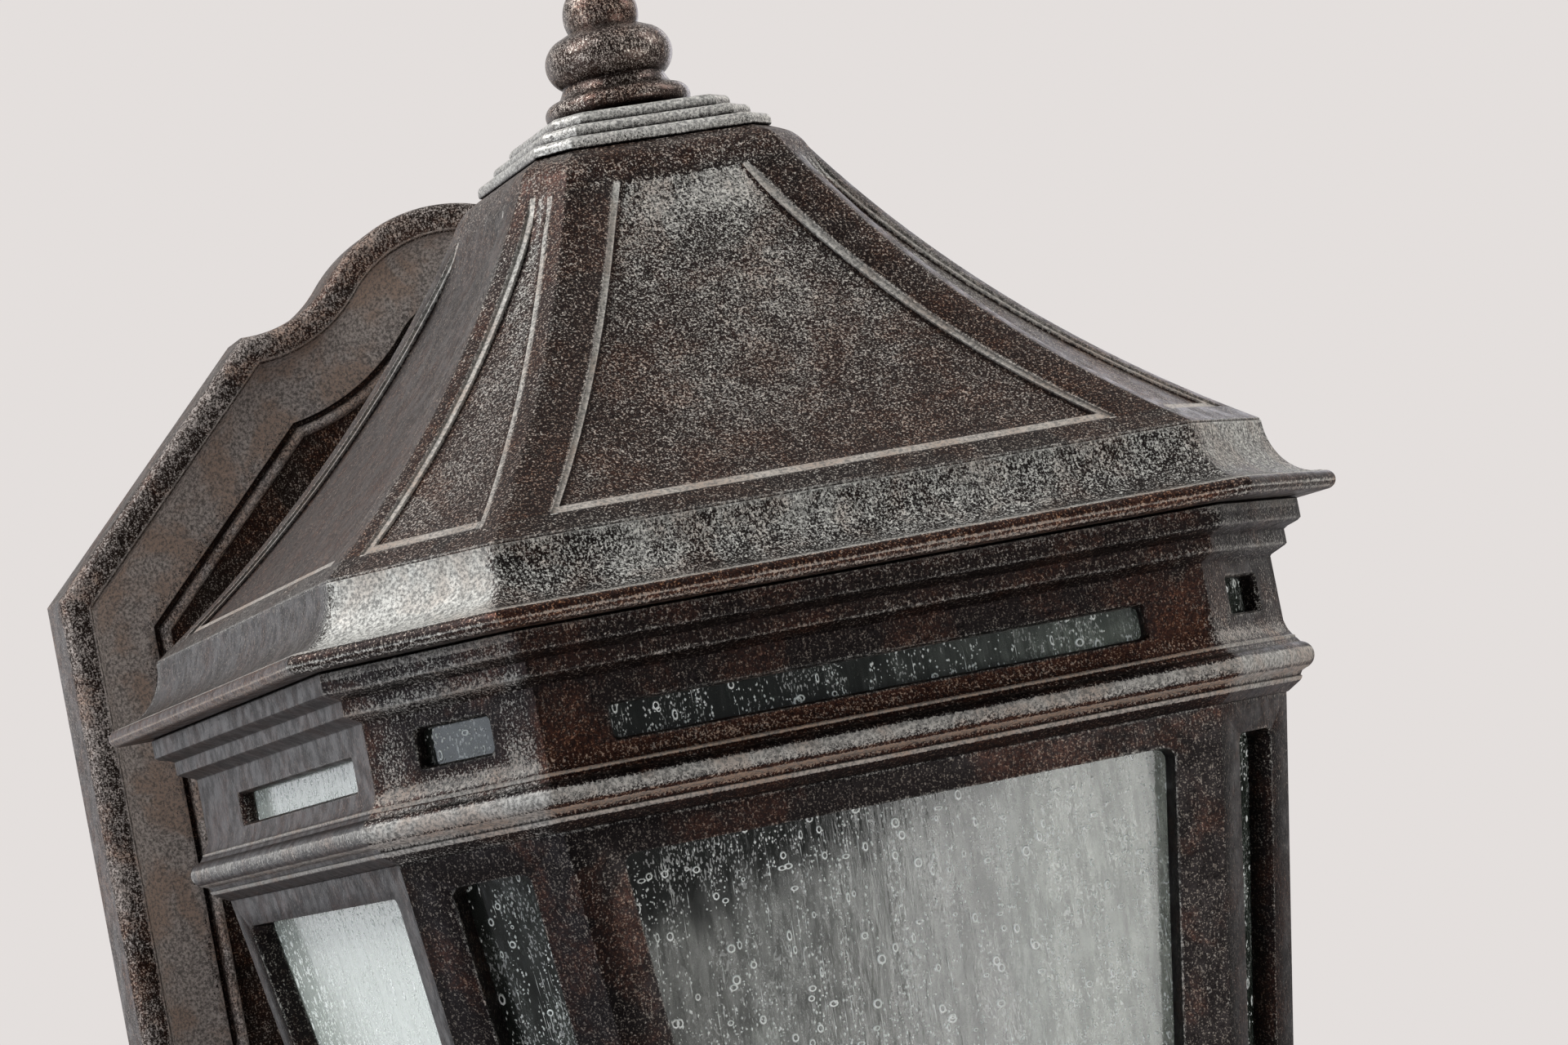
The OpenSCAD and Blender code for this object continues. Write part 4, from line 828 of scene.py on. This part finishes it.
# Tones of the frieze's mouldings by the height over its foot: pale rubbing and red-brown
friezeWear = [
    (0.0, 0.0), (2.0, -0.2), (2.3, 1.2), (3.2, 1.2), (3.5, -0.4), (4.2, 0.6), (5.2, 1.05),
    (5.6, -0.1), (6.2, 0.6), (7.4, 0.75), (9.2, 1.05), (9.9, 0.0), (10.6, -0.1), (11.4, 0.2),
    (11.8, 1.2), (12.1, -0.4), (12.3, -0.4), (12.5, 1.3), (13.1, 1.3), (13.4, 0.0), (14.2, 0.35),
    (16.0, 0.35), (17.0, 0.15),
]
friezeRust = [
    (0.0, 0.2), (3.4, 0.5), (4.0, 1.2), (5.8, 1.2), (6.2, 0.1), (11.0, 0.1), (12.0, 0.8),
    (17.0, 1.3),
]


def roundedWindow(half, height, radius, steps=4):
    points = []
    for x, z, first in ((half, height / 2, 0), (-half, height / 2, 90), (-half, -height / 2, 180),
                        (half, -height / 2, 270)):
        centre = (x - math.copysign(radius, x), z - math.copysign(radius, z))
        points += arc(centre, radius, first, first + 90, steps)
    return points


def windowCutter(outline, turn, near, far, flare):
    # A prism through one face, a little wider at its outer end
    points = []
    rows = [(near, 0.0), (far - 1.6, 0.0), (far - 0.8, 0.15), (far, flare), (far + 12, flare + 12)]
    turnBy = Matrix.Rotation(math.radians(turn), 3, "Z")
    for distance, grow in rows:
        for x, z in outline:
            spread = Vector((x + math.copysign(grow, x), -distance, z + math.copysign(grow, z)))
            points.append(turnBy @ spread)
    return points, cappedFaces(len(rows), len(outline))


def buildFrieze():
    form = friezeForm
    base, top = form["foot"], form["top"]
    bead, radius, wall = form["bead"], form["beadR"], form["wall"]
    stepHalf = (wall + form["step"]) / 2
    beadZ = base + 8
    # Rows of half width and height from the body up, each with its tones
    shape = [(form["bodyHalf"] + 0.4, base), (form["bodyHalf"] + 0.9, base + 0.3), (bead - 4.3, base + 2.0),
             (bead - 4.1, base + 2.2), (bead - 3.8, base + 2.5), (bead - 3.6, base + 3.1),
             (bead - 3.9, base + 3.4), (bead - 3.4, base + 4.3)]
    shape += arc((bead - radius, beadZ), radius, -75, 75, 16)
    shape += [(wall + 2.3, beadZ + 4.0), (wall + 2.1, beadZ + 4.3), (wall + 1.9, beadZ + 4.4),
              (wall + 1.9, beadZ + 5.0), (wall + 1.6, beadZ + 5.1)]
    shape += curveThrough([(wall + 1.3, beadZ + 5.4), (wall + 0.5, beadZ + 7), (wall, beadZ + 9)], 3)
    rows = [(half, z, along(friezeWear, z - base), along(friezeRust, z - base)) for half, z in shape]
    rows += [(wall, top - 20, 0.0, 0.6), (wall, top - 12.9, -0.1, 0.1), (wall + 0.3, top - 12.5, -0.1, 0.1),
             (stepHalf - 0.5, top - 10.9, 0.1, 0.2), (stepHalf, top - 10.5, 0.2, 0.2),
             (stepHalf, top - 7.1, -0.05, 0.2), (stepHalf + 0.9, top - 6.5, -0.1, 0.1),
             (form["step"] - 0.9, top - 5.7, -0.05, 0.1), (form["step"], top - 5, 0.1, 0.1),
             (form["step"], top - 2.4, 0.0, 0.1), (form["step"], top - 2.0, 0.35, 0.3),
             (form["step"], top - 0.4, 0.35, 0.3), (form["step"] - 0.4, top, 0.0, 0.0)]
    offsets = [[3.0, 9.0]] * 6
    middles = [1 if side in chamfers else 4 for side in range(6)]
    rings, wearAndPaintedLight, rust = [], [], []

    def add(half, z, inset, wornAndLit, rusty, arris):
        cut = form["bodyCut"] + cornerGrowth * (half - inset - form["bodyHalf"])
        rings.append(planRing(planCorners(half - inset, cut, half - inset), z, arris, offsets, middles))
        for side in range(6):
            # Painted light by side, added to the rubbing
            paintedSideLight = friezeSideLight[side]
            count = 2 * len(offsets[side]) + middles[side]
            wearAndPaintedLight.extend([wornAndLit + paintedSideLight / 2] * 5 + [wornAndLit + paintedSideLight] * count)
            rust.extend([rusty * (1.0 if side == frontSide else 0.25)] * (5 + count))

    for half, z, wornAndLit, rusty in rows:
        add(half, z, 0, wornAndLit, rusty, 0.9)
    room, ledge = form["room"], form["ledge"]
    for half, z in ((room, top), (room, base + form["ledgeT"]), (room - ledge, base + form["ledgeT"]),
                    (room - ledge, base)):
        add(half, z, 0, -0.2, 0.0, 0.5)
    columns = len(rings[0])
    piece = newPiece("frieze_casting", onLantern(rings), ringFaces(len(rings), columns, True), bodyCast,
                     wearAndPaintedLight, rust)
    centre = lantern["centre"]
    square = ((-1, -1), (1, -1), (1, 1), (-1, 1))
    cornerOut = (2 * wall - (form["bodyCut"] + cornerGrowth * (wall - form["bodyHalf"]))) / math.sqrt(2)
    for turn in (0, 90, -90, 45, -45):
        corner = abs(turn) == 45
        half, height = form["corner" if corner else "window"], form["cornerH" if corner else "windowH"]
        out, lift = (cornerOut, form["cornerLift"]) if corner else (wall, 0)
        middle = form["middle"] + lift
        outline = roundedWindow(half, height, form["windowR"])
        points, faces = windowCutter(outline, turn, out - form["cutDepth"], out, form["flare"])
        cutAway(piece, [centre + (p + Vector((0, 0, middle))) * mm for p in points], faces)
        # The rebate behind it, that its pane lies in
        wideHalf, highHalf = half + form["rebateSide"], height / 2 + form["rebateTop"]
        block = [Matrix.Rotation(math.radians(turn), 3, "Z")
                 @ Vector((x * wideHalf, -y, middle + z * highHalf))
                 for y in (out - form["paneDepth"], out - form["rebateDepth"]) for x, z in square]
        cutAway(piece, [centre + p * mm for p in block], [
            (0, 1, 2, 3), (7, 6, 5, 4), (0, 4, 5, 1), (1, 5, 6, 2), (2, 6, 7, 3), (3, 7, 4, 0)])
    return piece


friezePiece = buildFrieze()
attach(friezePiece, "lantern")
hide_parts("frieze_ring")
print("frieze built")

# Body: the cast frame with its long edges softened
bodyForm = {"edge": 0.9, "segments": 3, "sideShade": -0.25}


def softened(name, node, form, material):
    # A merged copy of a CAD casting with flat faces joined and its edges rounded
    mesh = nodes[node].data.copy()
    mesh.name = name
    mesh.transform(nodes[node].matrix_world)
    work = bmesh.new()
    work.from_mesh(mesh)
    bmesh.ops.remove_doubles(work, verts=work.verts, dist=2e-6)
    bmesh.ops.dissolve_limit(work, angle_limit=math.radians(1.0), verts=work.verts, edges=work.edges)
    work.to_mesh(mesh)
    work.free()
    mesh.materials.clear()
    mesh.materials.append(material)
    piece = link(bpy.data.objects.new(name, mesh))
    bevel = piece.modifiers.new("soft", "BEVEL")
    bevel.width = form["edge"] * mm
    bevel.segments = form["segments"]
    bevel.limit_method = "ANGLE"
    bevel.angle_limit = math.radians(30)
    bevel.harden_normals = False
    applied(piece)
    cleanMesh(piece.data)
    return piece


bodyPiece = softened("body_casting", "body_frame", bodyForm, bodyCast)
sideShadeLayer = bodyPiece.data.attributes.new("wearAndPaintedLight", "FLOAT", "POINT").data
for vertex in bodyPiece.data.vertices:
    # Painted shade: the two sides are darker, given as less of the pale rubbing
    sideShadeLayer[vertex.index].value = bodyForm["sideShade"] * min(abs(vertex.normal.x) ** 4 * 1.2, 1.0)
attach(bodyPiece, "lantern")
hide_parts("body_frame")
print("body built")

# Wall plate: crest, flares, shoulders, hollow moulding, groove with a bead, and a flat field
plateForm = {
    "half": 127.5, "crestTop": 236.0, "drop": 205.0, "crestR": 45.5, "flareR": 34.5, "crestTurn": 39.5,
    "corner": 40.0, "rim": 7.8, "cove": 17.4, "band": 7.0, "beadH": 2.6, "backRim": 8.0,
    "pocket": 7.5, "wall": 3.5, "depth": 22.0, "wireHole": 8.0, "nutSpread": 57.0, "nutHole": 2.45,
    "screwRing": 28.0, "screwHole": 2.08,
}


def plateOutline(inset, form=plateForm):
    turn = math.radians(form["crestTurn"])
    crestZ = form["crestTop"] - form["crestR"]
    flareX = (form["crestR"] + form["flareR"]) * math.cos(turn)
    flareZ = crestZ + (form["crestR"] + form["flareR"]) * math.sin(turn)
    shoulder = flareX + flareZ - form["flareR"] + 1.2
    rho = form["flareR"] + inset
    step = (math.sqrt(2) - 1) * inset
    reach = (shoulder - math.sqrt(2) * inset - flareX - flareZ) / rho
    flareEnd = 315 + math.degrees(math.asin(reach / math.sqrt(2)))
    side = [(form["half"] - form["corner"] - step, inset - form["drop"]),
            (form["half"] - inset, form["corner"] + step - form["drop"]),
            (form["half"] - inset, shoulder - form["half"] - step)]
    side += arc((flareX, flareZ), rho, flareEnd, 180 + form["crestTurn"], 20)
    side += arc((0, crestZ), form["crestR"] - inset, form["crestTurn"], 90, 24)[1:]
    return side + [(-x, z) for x, z in reversed(side[:-1])]


def buildPlate():
    form = plateForm
    depth, rim, field0 = form["depth"], form["rim"], form["pocket"] + form["wall"]
    coveFoot = field0 + 1
    coveDrop = depth - 1.5 - coveFoot
    coveIn = rim + 0.8 + form["cove"]
    middle = coveIn + form["band"] / 2
    rows = [(form["backRim"], form["pocket"], -0.2), (form["backRim"], 0, -0.2), (0.4, 0, 0), (0, 0.4, 0.2)]
    rows += [(0, depth - 3, 0.1)]
    rows += [(3 - 3 * math.cos(math.radians(t)), depth - 3 + 3 * math.sin(math.radians(t)), 0.35)
             for t in range(15, 91, 15)]
    rows += [(rim - 0.3, depth, 0.2), (rim, depth - 0.1, 0.9), (rim + 0.4, depth - 0.9, 0.1)]
    # The hollow moulding is palest across its middle: a painted highlight, given as more rubbing
    for k in range(15):
        t = math.radians(90 * k / 14)
        rows.append((rim + 0.8 + form["cove"] * (1 - math.cos(t)),
                     coveFoot + coveDrop * (1 - math.sin(t)), 0.55 + 0.6 * math.sin(2 * t)))
    rows += [(coveIn + 0.4, coveFoot - 0.1, 0.4), (coveIn + 0.6, field0, -0.3), (middle - 1.7, field0, -0.3)]
    rows += [(middle - 1.6 * math.cos(math.radians(t)),
              field0 + form["beadH"] * math.sin(math.radians(t)), 0.45) for t in range(12, 169, 13)]
    rows += [(middle + 1.7, field0, -0.2)]
    points, wearAndPaintedLight = [], []
    for inset, height, wornAndLit in rows:
        outline = plateOutline(inset)
        points += [Vector((x, -height, z)) * mm for x, z in outline]
        wearAndPaintedLight += [wornAndLit] * len(outline)
    piece = newPiece("plate_casting", points, cappedFaces(len(rows), len(outline)), plateCast, wearAndPaintedLight)
    spread, ring = form["nutSpread"], form["screwRing"]
    holes = [(0, 0, form["wireHole"]), (-spread, 0, form["nutHole"]), (spread, 0, form["nutHole"])]
    holes += [(ring * math.cos(math.radians(t)), ring * math.sin(math.radians(t)), form["screwHole"])
              for t in (90, 210, 330)]
    cutPoints, cutFaces = [], []
    for x, z, radius in holes:
        start = len(cutPoints)
        for y in (-form["pocket"] + 1, -field0 - 1):
            cutPoints += [Vector((x + px, y, z + pz)) * mm for px, pz in arc((0, 0), radius, 0, 345, 23)]
        cutFaces += [tuple(start + i for i in face) for face in cappedFaces(2, 24)]
    cutAway(piece, cutPoints, cutFaces)
    return piece


platePiece = buildPlate()
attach(platePiece, "lantern")
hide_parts("wall_plate")
print("plate built")

# Arm: turned waist between two flanges
armForm = {"plateR": 38.0, "bodyR": 30.0, "waistR": 17.0, "flange": 8.0, "wire": 8.0, "step": 4.0}


def buildArm():
    form = armForm
    low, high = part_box("support_arm")
    length = (high.y - low.y) / mm
    waist = length / 2 - form["flange"]
    body, plate = form["bodyR"], form["plateR"]
    profile = [(form["wire"], 0), (body - 0.8, 0), (body, 0.8), (body, form["flange"] - 2)]
    profile += arc((body - 2, form["flange"] - 2), 2, 0, 90, 4)[1:]
    sweep = [(1 - math.sin(math.radians(t)), 1 - math.cos(math.radians(t))) for t in range(0, 91, 5)]
    narrow = form["waistR"]
    profile += [(narrow + (body - form["step"] - narrow) * out, form["flange"] + waist * up)
                for out, up in sweep]
    profile += [(narrow + (plate - form["step"] - narrow) * out, length - form["flange"] - waist * up)
                for out, up in reversed(sweep[:-1])]
    profile += arc((plate - 2, length - form["flange"] + 2), 2, 270, 360, 4)
    profile += [(plate, length - 0.4), (plate - 0.4, length), (form["wire"], length), (form["wire"], 0)]
    foot = ((low.x + high.x) / 2, low.y, (low.z + high.z) / 2)
    return turned("arm_turning", profile, plateCast, foot, "Y")


armPiece = buildArm()
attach(armPiece, "lantern")
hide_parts("support_arm")
print("arm built")

# Foot: base ring and pan softened
footForm = {"edge": 0.5, "segments": 2}
for pieceName, node in (("base_casting", "base_ring"), ("pan_casting", "foot_pan")):
    footPiece = softened(pieceName, node, footForm, bodyCast)
    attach(footPiece, "lantern")
    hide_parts(node)
print("foot built")

# Finish of the CAD nodes by how their names begin; all others are plated steel
finishes = (
    (("pane_front",), frontGlass),
    (("frieze_pane_front",), friezeGlass),
    (("pane_left", "pane_right", "frieze_pane_left", "frieze_pane_right"), sideGlass),
    (("pane_corner", "frieze_pane_corner"), cornerGlass),
    (("foot_drop", "cap_nut"), finialCast),
    (("ground_screw",), earthGreen),
    (("cluster_hub", "lamp_arm", "drip_pan"), clusterBronze),
    (("lamp_socket",), blackSocket),
    (("candle_sleeve",), ivorySleeve),
    (("bulb_glass",), bulbGlass),
    (("bulb_cap",), capBrass),
    (("wall_plate", "support_arm", "body_frame", "frieze_ring", "roof_collar", "finial", "base_ring",
      "foot_pan"), bodyCast),
)
for name, node in nodes.items():
    finish = next((finish for starts, finish in finishes if name.startswith(starts)), zincSteel)
    node.material_slots[0].material = bodyCast if name == "roof" else finish
print("finishes set")

# Seeds: ring bubbles, specks and fine runs on the outer faces of the panes
seedForm = {
    "Bubbles": 15000.0, "Specks": 500000.0, "Runs": 30000.0,  # on each square metre
    "bubble": 0.00055, "thread": 0.00021, "speck": 0.00021,  # radii in metres
}


def makeSeedTree():
    # Bubbles as small rings, specks and fine upright runs, thicker where the streaks of the glass are
    tree, given, out = newGroup("seedScatter", [
        ("Faces", geometrySocket, None), ("Bubbles", floatSocket, None), ("Specks", floatSocket, None),
        ("Runs", floatSocket, None), ("Seed", wholeSocket, None), ("Surface", materialSocket, None),
    ], [("Seeds", geometrySocket)], "GeometryNodeTree")
    circle = put(tree, "GeometryNodeCurvePrimitiveCircle", {"Resolution": 8, "Radius": seedForm["bubble"]})
    thread = put(tree, "GeometryNodeCurvePrimitiveCircle", {"Resolution": 3, "Radius": seedForm["thread"]})
    ring = put(tree, "GeometryNodeCurveToMesh", {
        "Curve": circle.outputs[0], "Profile Curve": thread.outputs[0]}).outputs[0]
    speck = put(tree, "GeometryNodeMeshUVSphere", {
        "Segments": 4, "Rings": 2, "Radius": seedForm["speck"]}).outputs[0]
    here = put(tree, "GeometryNodeInputPosition").outputs[0]
    tall = put(tree, "ShaderNodeVectorMath", {0: here, 1: (260, 260, 26)}, operation="MULTIPLY")
    streaks = grain(tree, tall.outputs[0], 1.0, 3.0, 0.6)
    joined = put(tree, "GeometryNodeJoinGeometry")
    # Shape, density, seed offset, least streak that carries it, smallest and largest scale
    kinds = (
        (ring, "Bubbles", 0, 0.0, (0.6, 0.7, 0.8), (1.6, 2.0, 1.1)),
        (speck, "Specks", 7, 0.47, (0.4, 0.5, 0.4), (1.7, 2.9, 0.9)),
        (speck, "Runs", 13, 0.5, (0.25, 7.0, 0.2), (0.45, 26.0, 0.3)),
    )
    for shape, density, offset, least, low, high in kinds:
        seed = calc(tree, "ADD", given["Seed"], offset)
        spread = put(tree, "GeometryNodeDistributePointsOnFaces", {
            "Mesh": given["Faces"], "Density": given[density], "Seed": seed})
        size = put(tree, "FunctionNodeRandomValue", {
            0: low, 1: high, "Seed": seed}, data_type="FLOAT_VECTOR")
        upright = put(tree, "FunctionNodeAlignRotationToVector", {
            "Rotation": spread.outputs["Rotation"], "Vector": (0, 0, 1)}, axis="Y", pivot_axis="Z")
        placed = put(tree, "GeometryNodeInstanceOnPoints", {
            "Points": spread.outputs["Points"], "Instance": shape,
            "Selection": calc(tree, "GREATER_THAN", streaks, least),
            "Rotation": upright.outputs[0], "Scale": size.outputs[0]})
        tree.links.new(placed.outputs[0], joined.inputs[0])
    real = put(tree, "GeometryNodeRealizeInstances", {"Geometry": joined.outputs[0]})
    dressed = put(tree, "GeometryNodeSetMaterial", {
        "Geometry": real.outputs[0], "Material": given["Surface"]})
    return giveOut(tree, out, Seeds=dressed.outputs[0])


seedScatter = makeSeedTree()
seedNumbers = {
    "pane_front": 3, "pane_left": 5, "pane_right": 9, "pane_corner_left": 12, "pane_corner_right": 17,
    "frieze_pane_front": 21, "frieze_pane_left": 25, "frieze_pane_right": 29,
    "frieze_pane_corner_left": 33, "frieze_pane_corner_right": 37,
}


def outerFace(node):
    # The large face of a pane that looks away from the lantern's axis
    mesh = nodes[node].data
    place = nodes[node].matrix_world
    axis = Vector((lantern["axisX"], lantern["axisY"], 0))

    def outwardArea(polygon):
        centre = place @ polygon.center
        away = Vector((centre.x, centre.y, 0)) - axis
        return polygon.area if polygon.normal.dot(away) > 0 else 0

    normal = max(mesh.polygons, key=outwardArea).normal.copy()
    keep = [p for p in mesh.polygons if p.normal.dot(normal) > 0.99]
    points, faces = [], []
    for polygon in keep:
        faces.append(tuple(range(len(points), len(points) + len(polygon.vertices))))
        points += [place @ mesh.vertices[v].co for v in polygon.vertices]
    return points, faces


for node, seed in seedNumbers.items():
    points, faces = outerFace(node)
    mesh = bpy.data.meshes.new(node + "_seeds")
    mesh.from_pydata(points, [], faces)
    seedPiece = link(bpy.data.objects.new(node + "_seeds", mesh))
    fillModifier(seedPiece, seedScatter, {**seedForm, "Seed": seed, "Surface": seedWhite})
    applied(seedPiece)
    seedPiece.data.polygons.foreach_set("use_smooth", [True] * len(seedPiece.data.polygons))
    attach(seedPiece, "lantern")
    print(node, "seeds", len(seedPiece.data.polygons))

# Floor, lamps and surroundings
floorForm = {"size": 6.0, "z": -0.62}
floorMaterial = newMaterial("floorPaint", plainGrain, {
    "First": (0.74, 0.70, 0.70, 1), "Second": (0.72, 0.68, 0.68, 1), "Grain Scale": 40.0,
    "Rough Low": 0.8, "Rough High": 0.9}, {"Metallic": 0.0, "Specular IOR Level": 0.2}, (0.02, 0.0002))
floorHalf = floorForm["size"] / 2
floorPoints = [(x * floorHalf, y * floorHalf, floorForm["z"])
               for x, y in ((-1, -1), (1, -1), (1, 1), (-1, 1))]
floorMesh = bpy.data.meshes.new("floor")
floorMesh.from_pydata(floorPoints, [], [(0, 1, 2, 3)])
floorMesh.materials.append(floorMaterial)
link(bpy.data.objects.new("floor", floorMesh))


def softbox(name, place, target, size, power, tint):
    data = bpy.data.lights.new(name, "AREA")
    data.color = tint
    data.shape = "RECTANGLE"
    data.size, data.size_y = size
    data.energy = power
    lamp = link(bpy.data.objects.new(name, data))
    lamp.location = place
    lamp.rotation_euler = (Vector(target) - Vector(place)).to_track_quat("-Z", "Y").to_euler()


# Place, what it points at, size, power and tint of each softbox
lamps = {
    "left_box": ((-1.1, -0.28, 1.4), (0, -0.2, 0.08), (0.9, 0.9), 25.0, (0.97, 0.98, 1.0)),
    "right_box": ((1.25, -0.5, 1.0), (0, -0.2, 0.08), (0.5, 1.0), 11.0, (1, 1, 1)),
    "left_card": ((-1.42, -0.69, 0.15), (0, -0.2, 0.02), (0.6, 1.0), 6.0, (0.84, 0.91, 1.0)),
    "rim_left": ((-0.75, 1.25, 0.15), (0, -0.2, 0.0), (0.9, 1.2), 1.8, (0.84, 0.90, 1.0)),
    "rim_right": ((1.1, 1.1, 0.5), (0, -0.2, 0.05), (0.5, 1.0), 2.2, (0.9, 0.9, 1.0)),
    "pane_card": ((0.965, -1.59, -0.45), (0, -0.3, -0.02), (1.0, 0.8), 11.5, (1, 1, 0.98)),
}
for name, (place, target, size, power, tint) in lamps.items():
    softbox(name, place, target, size, power, tint)

# Light of the room, backdrop that is seen, and the most of it that metal mirrors
studio = {
    "room": (0.95, 0.97, 1.0, 1), "roomLight": 0.22, "backdrop": (0.775, 0.738, 0.723, 1),
    "mirrored": 0.6,
}
world = bpy.data.worlds.new("studio")
bpy.context.scene.world = world
world.use_nodes = True
worldTree = world.node_tree
background = worldTree.nodes["Background"]
background.inputs["Color"].default_value = studio["room"]
background.inputs["Strength"].default_value = studio["roomLight"]
seen = put(worldTree, "ShaderNodeBackground", {"Color": studio["backdrop"], "Strength": 1.0})
rays = put(worldTree, "ShaderNodeLightPath").outputs
# Metal and glass show the pale backdrop at the wall's side and a darker room before the lantern
looking = put(worldTree, "ShaderNodeTexCoord").outputs["Generated"]
towards = put(worldTree, "ShaderNodeSeparateXYZ", {0: looking})
behind = remap(worldTree, towards.outputs[1], -0.45, 0.25, 0.0, studio["mirrored"])
direct = calc(worldTree, "MAXIMUM", rays["Is Camera Ray"], calc(
    worldTree, "MAXIMUM", calc(worldTree, "MULTIPLY", rays["Is Glossy Ray"], behind),
    rays["Is Transmission Ray"]))
worldMix = put(worldTree, "ShaderNodeMixShader", {0: direct, 1: background.outputs[0], 2: seen.outputs[0]})
worldTree.links.new(worldMix.outputs[0], worldTree.nodes["World Output"].inputs["Surface"])
bpy.context.scene.view_settings.view_transform = "Standard"
print("studio set")
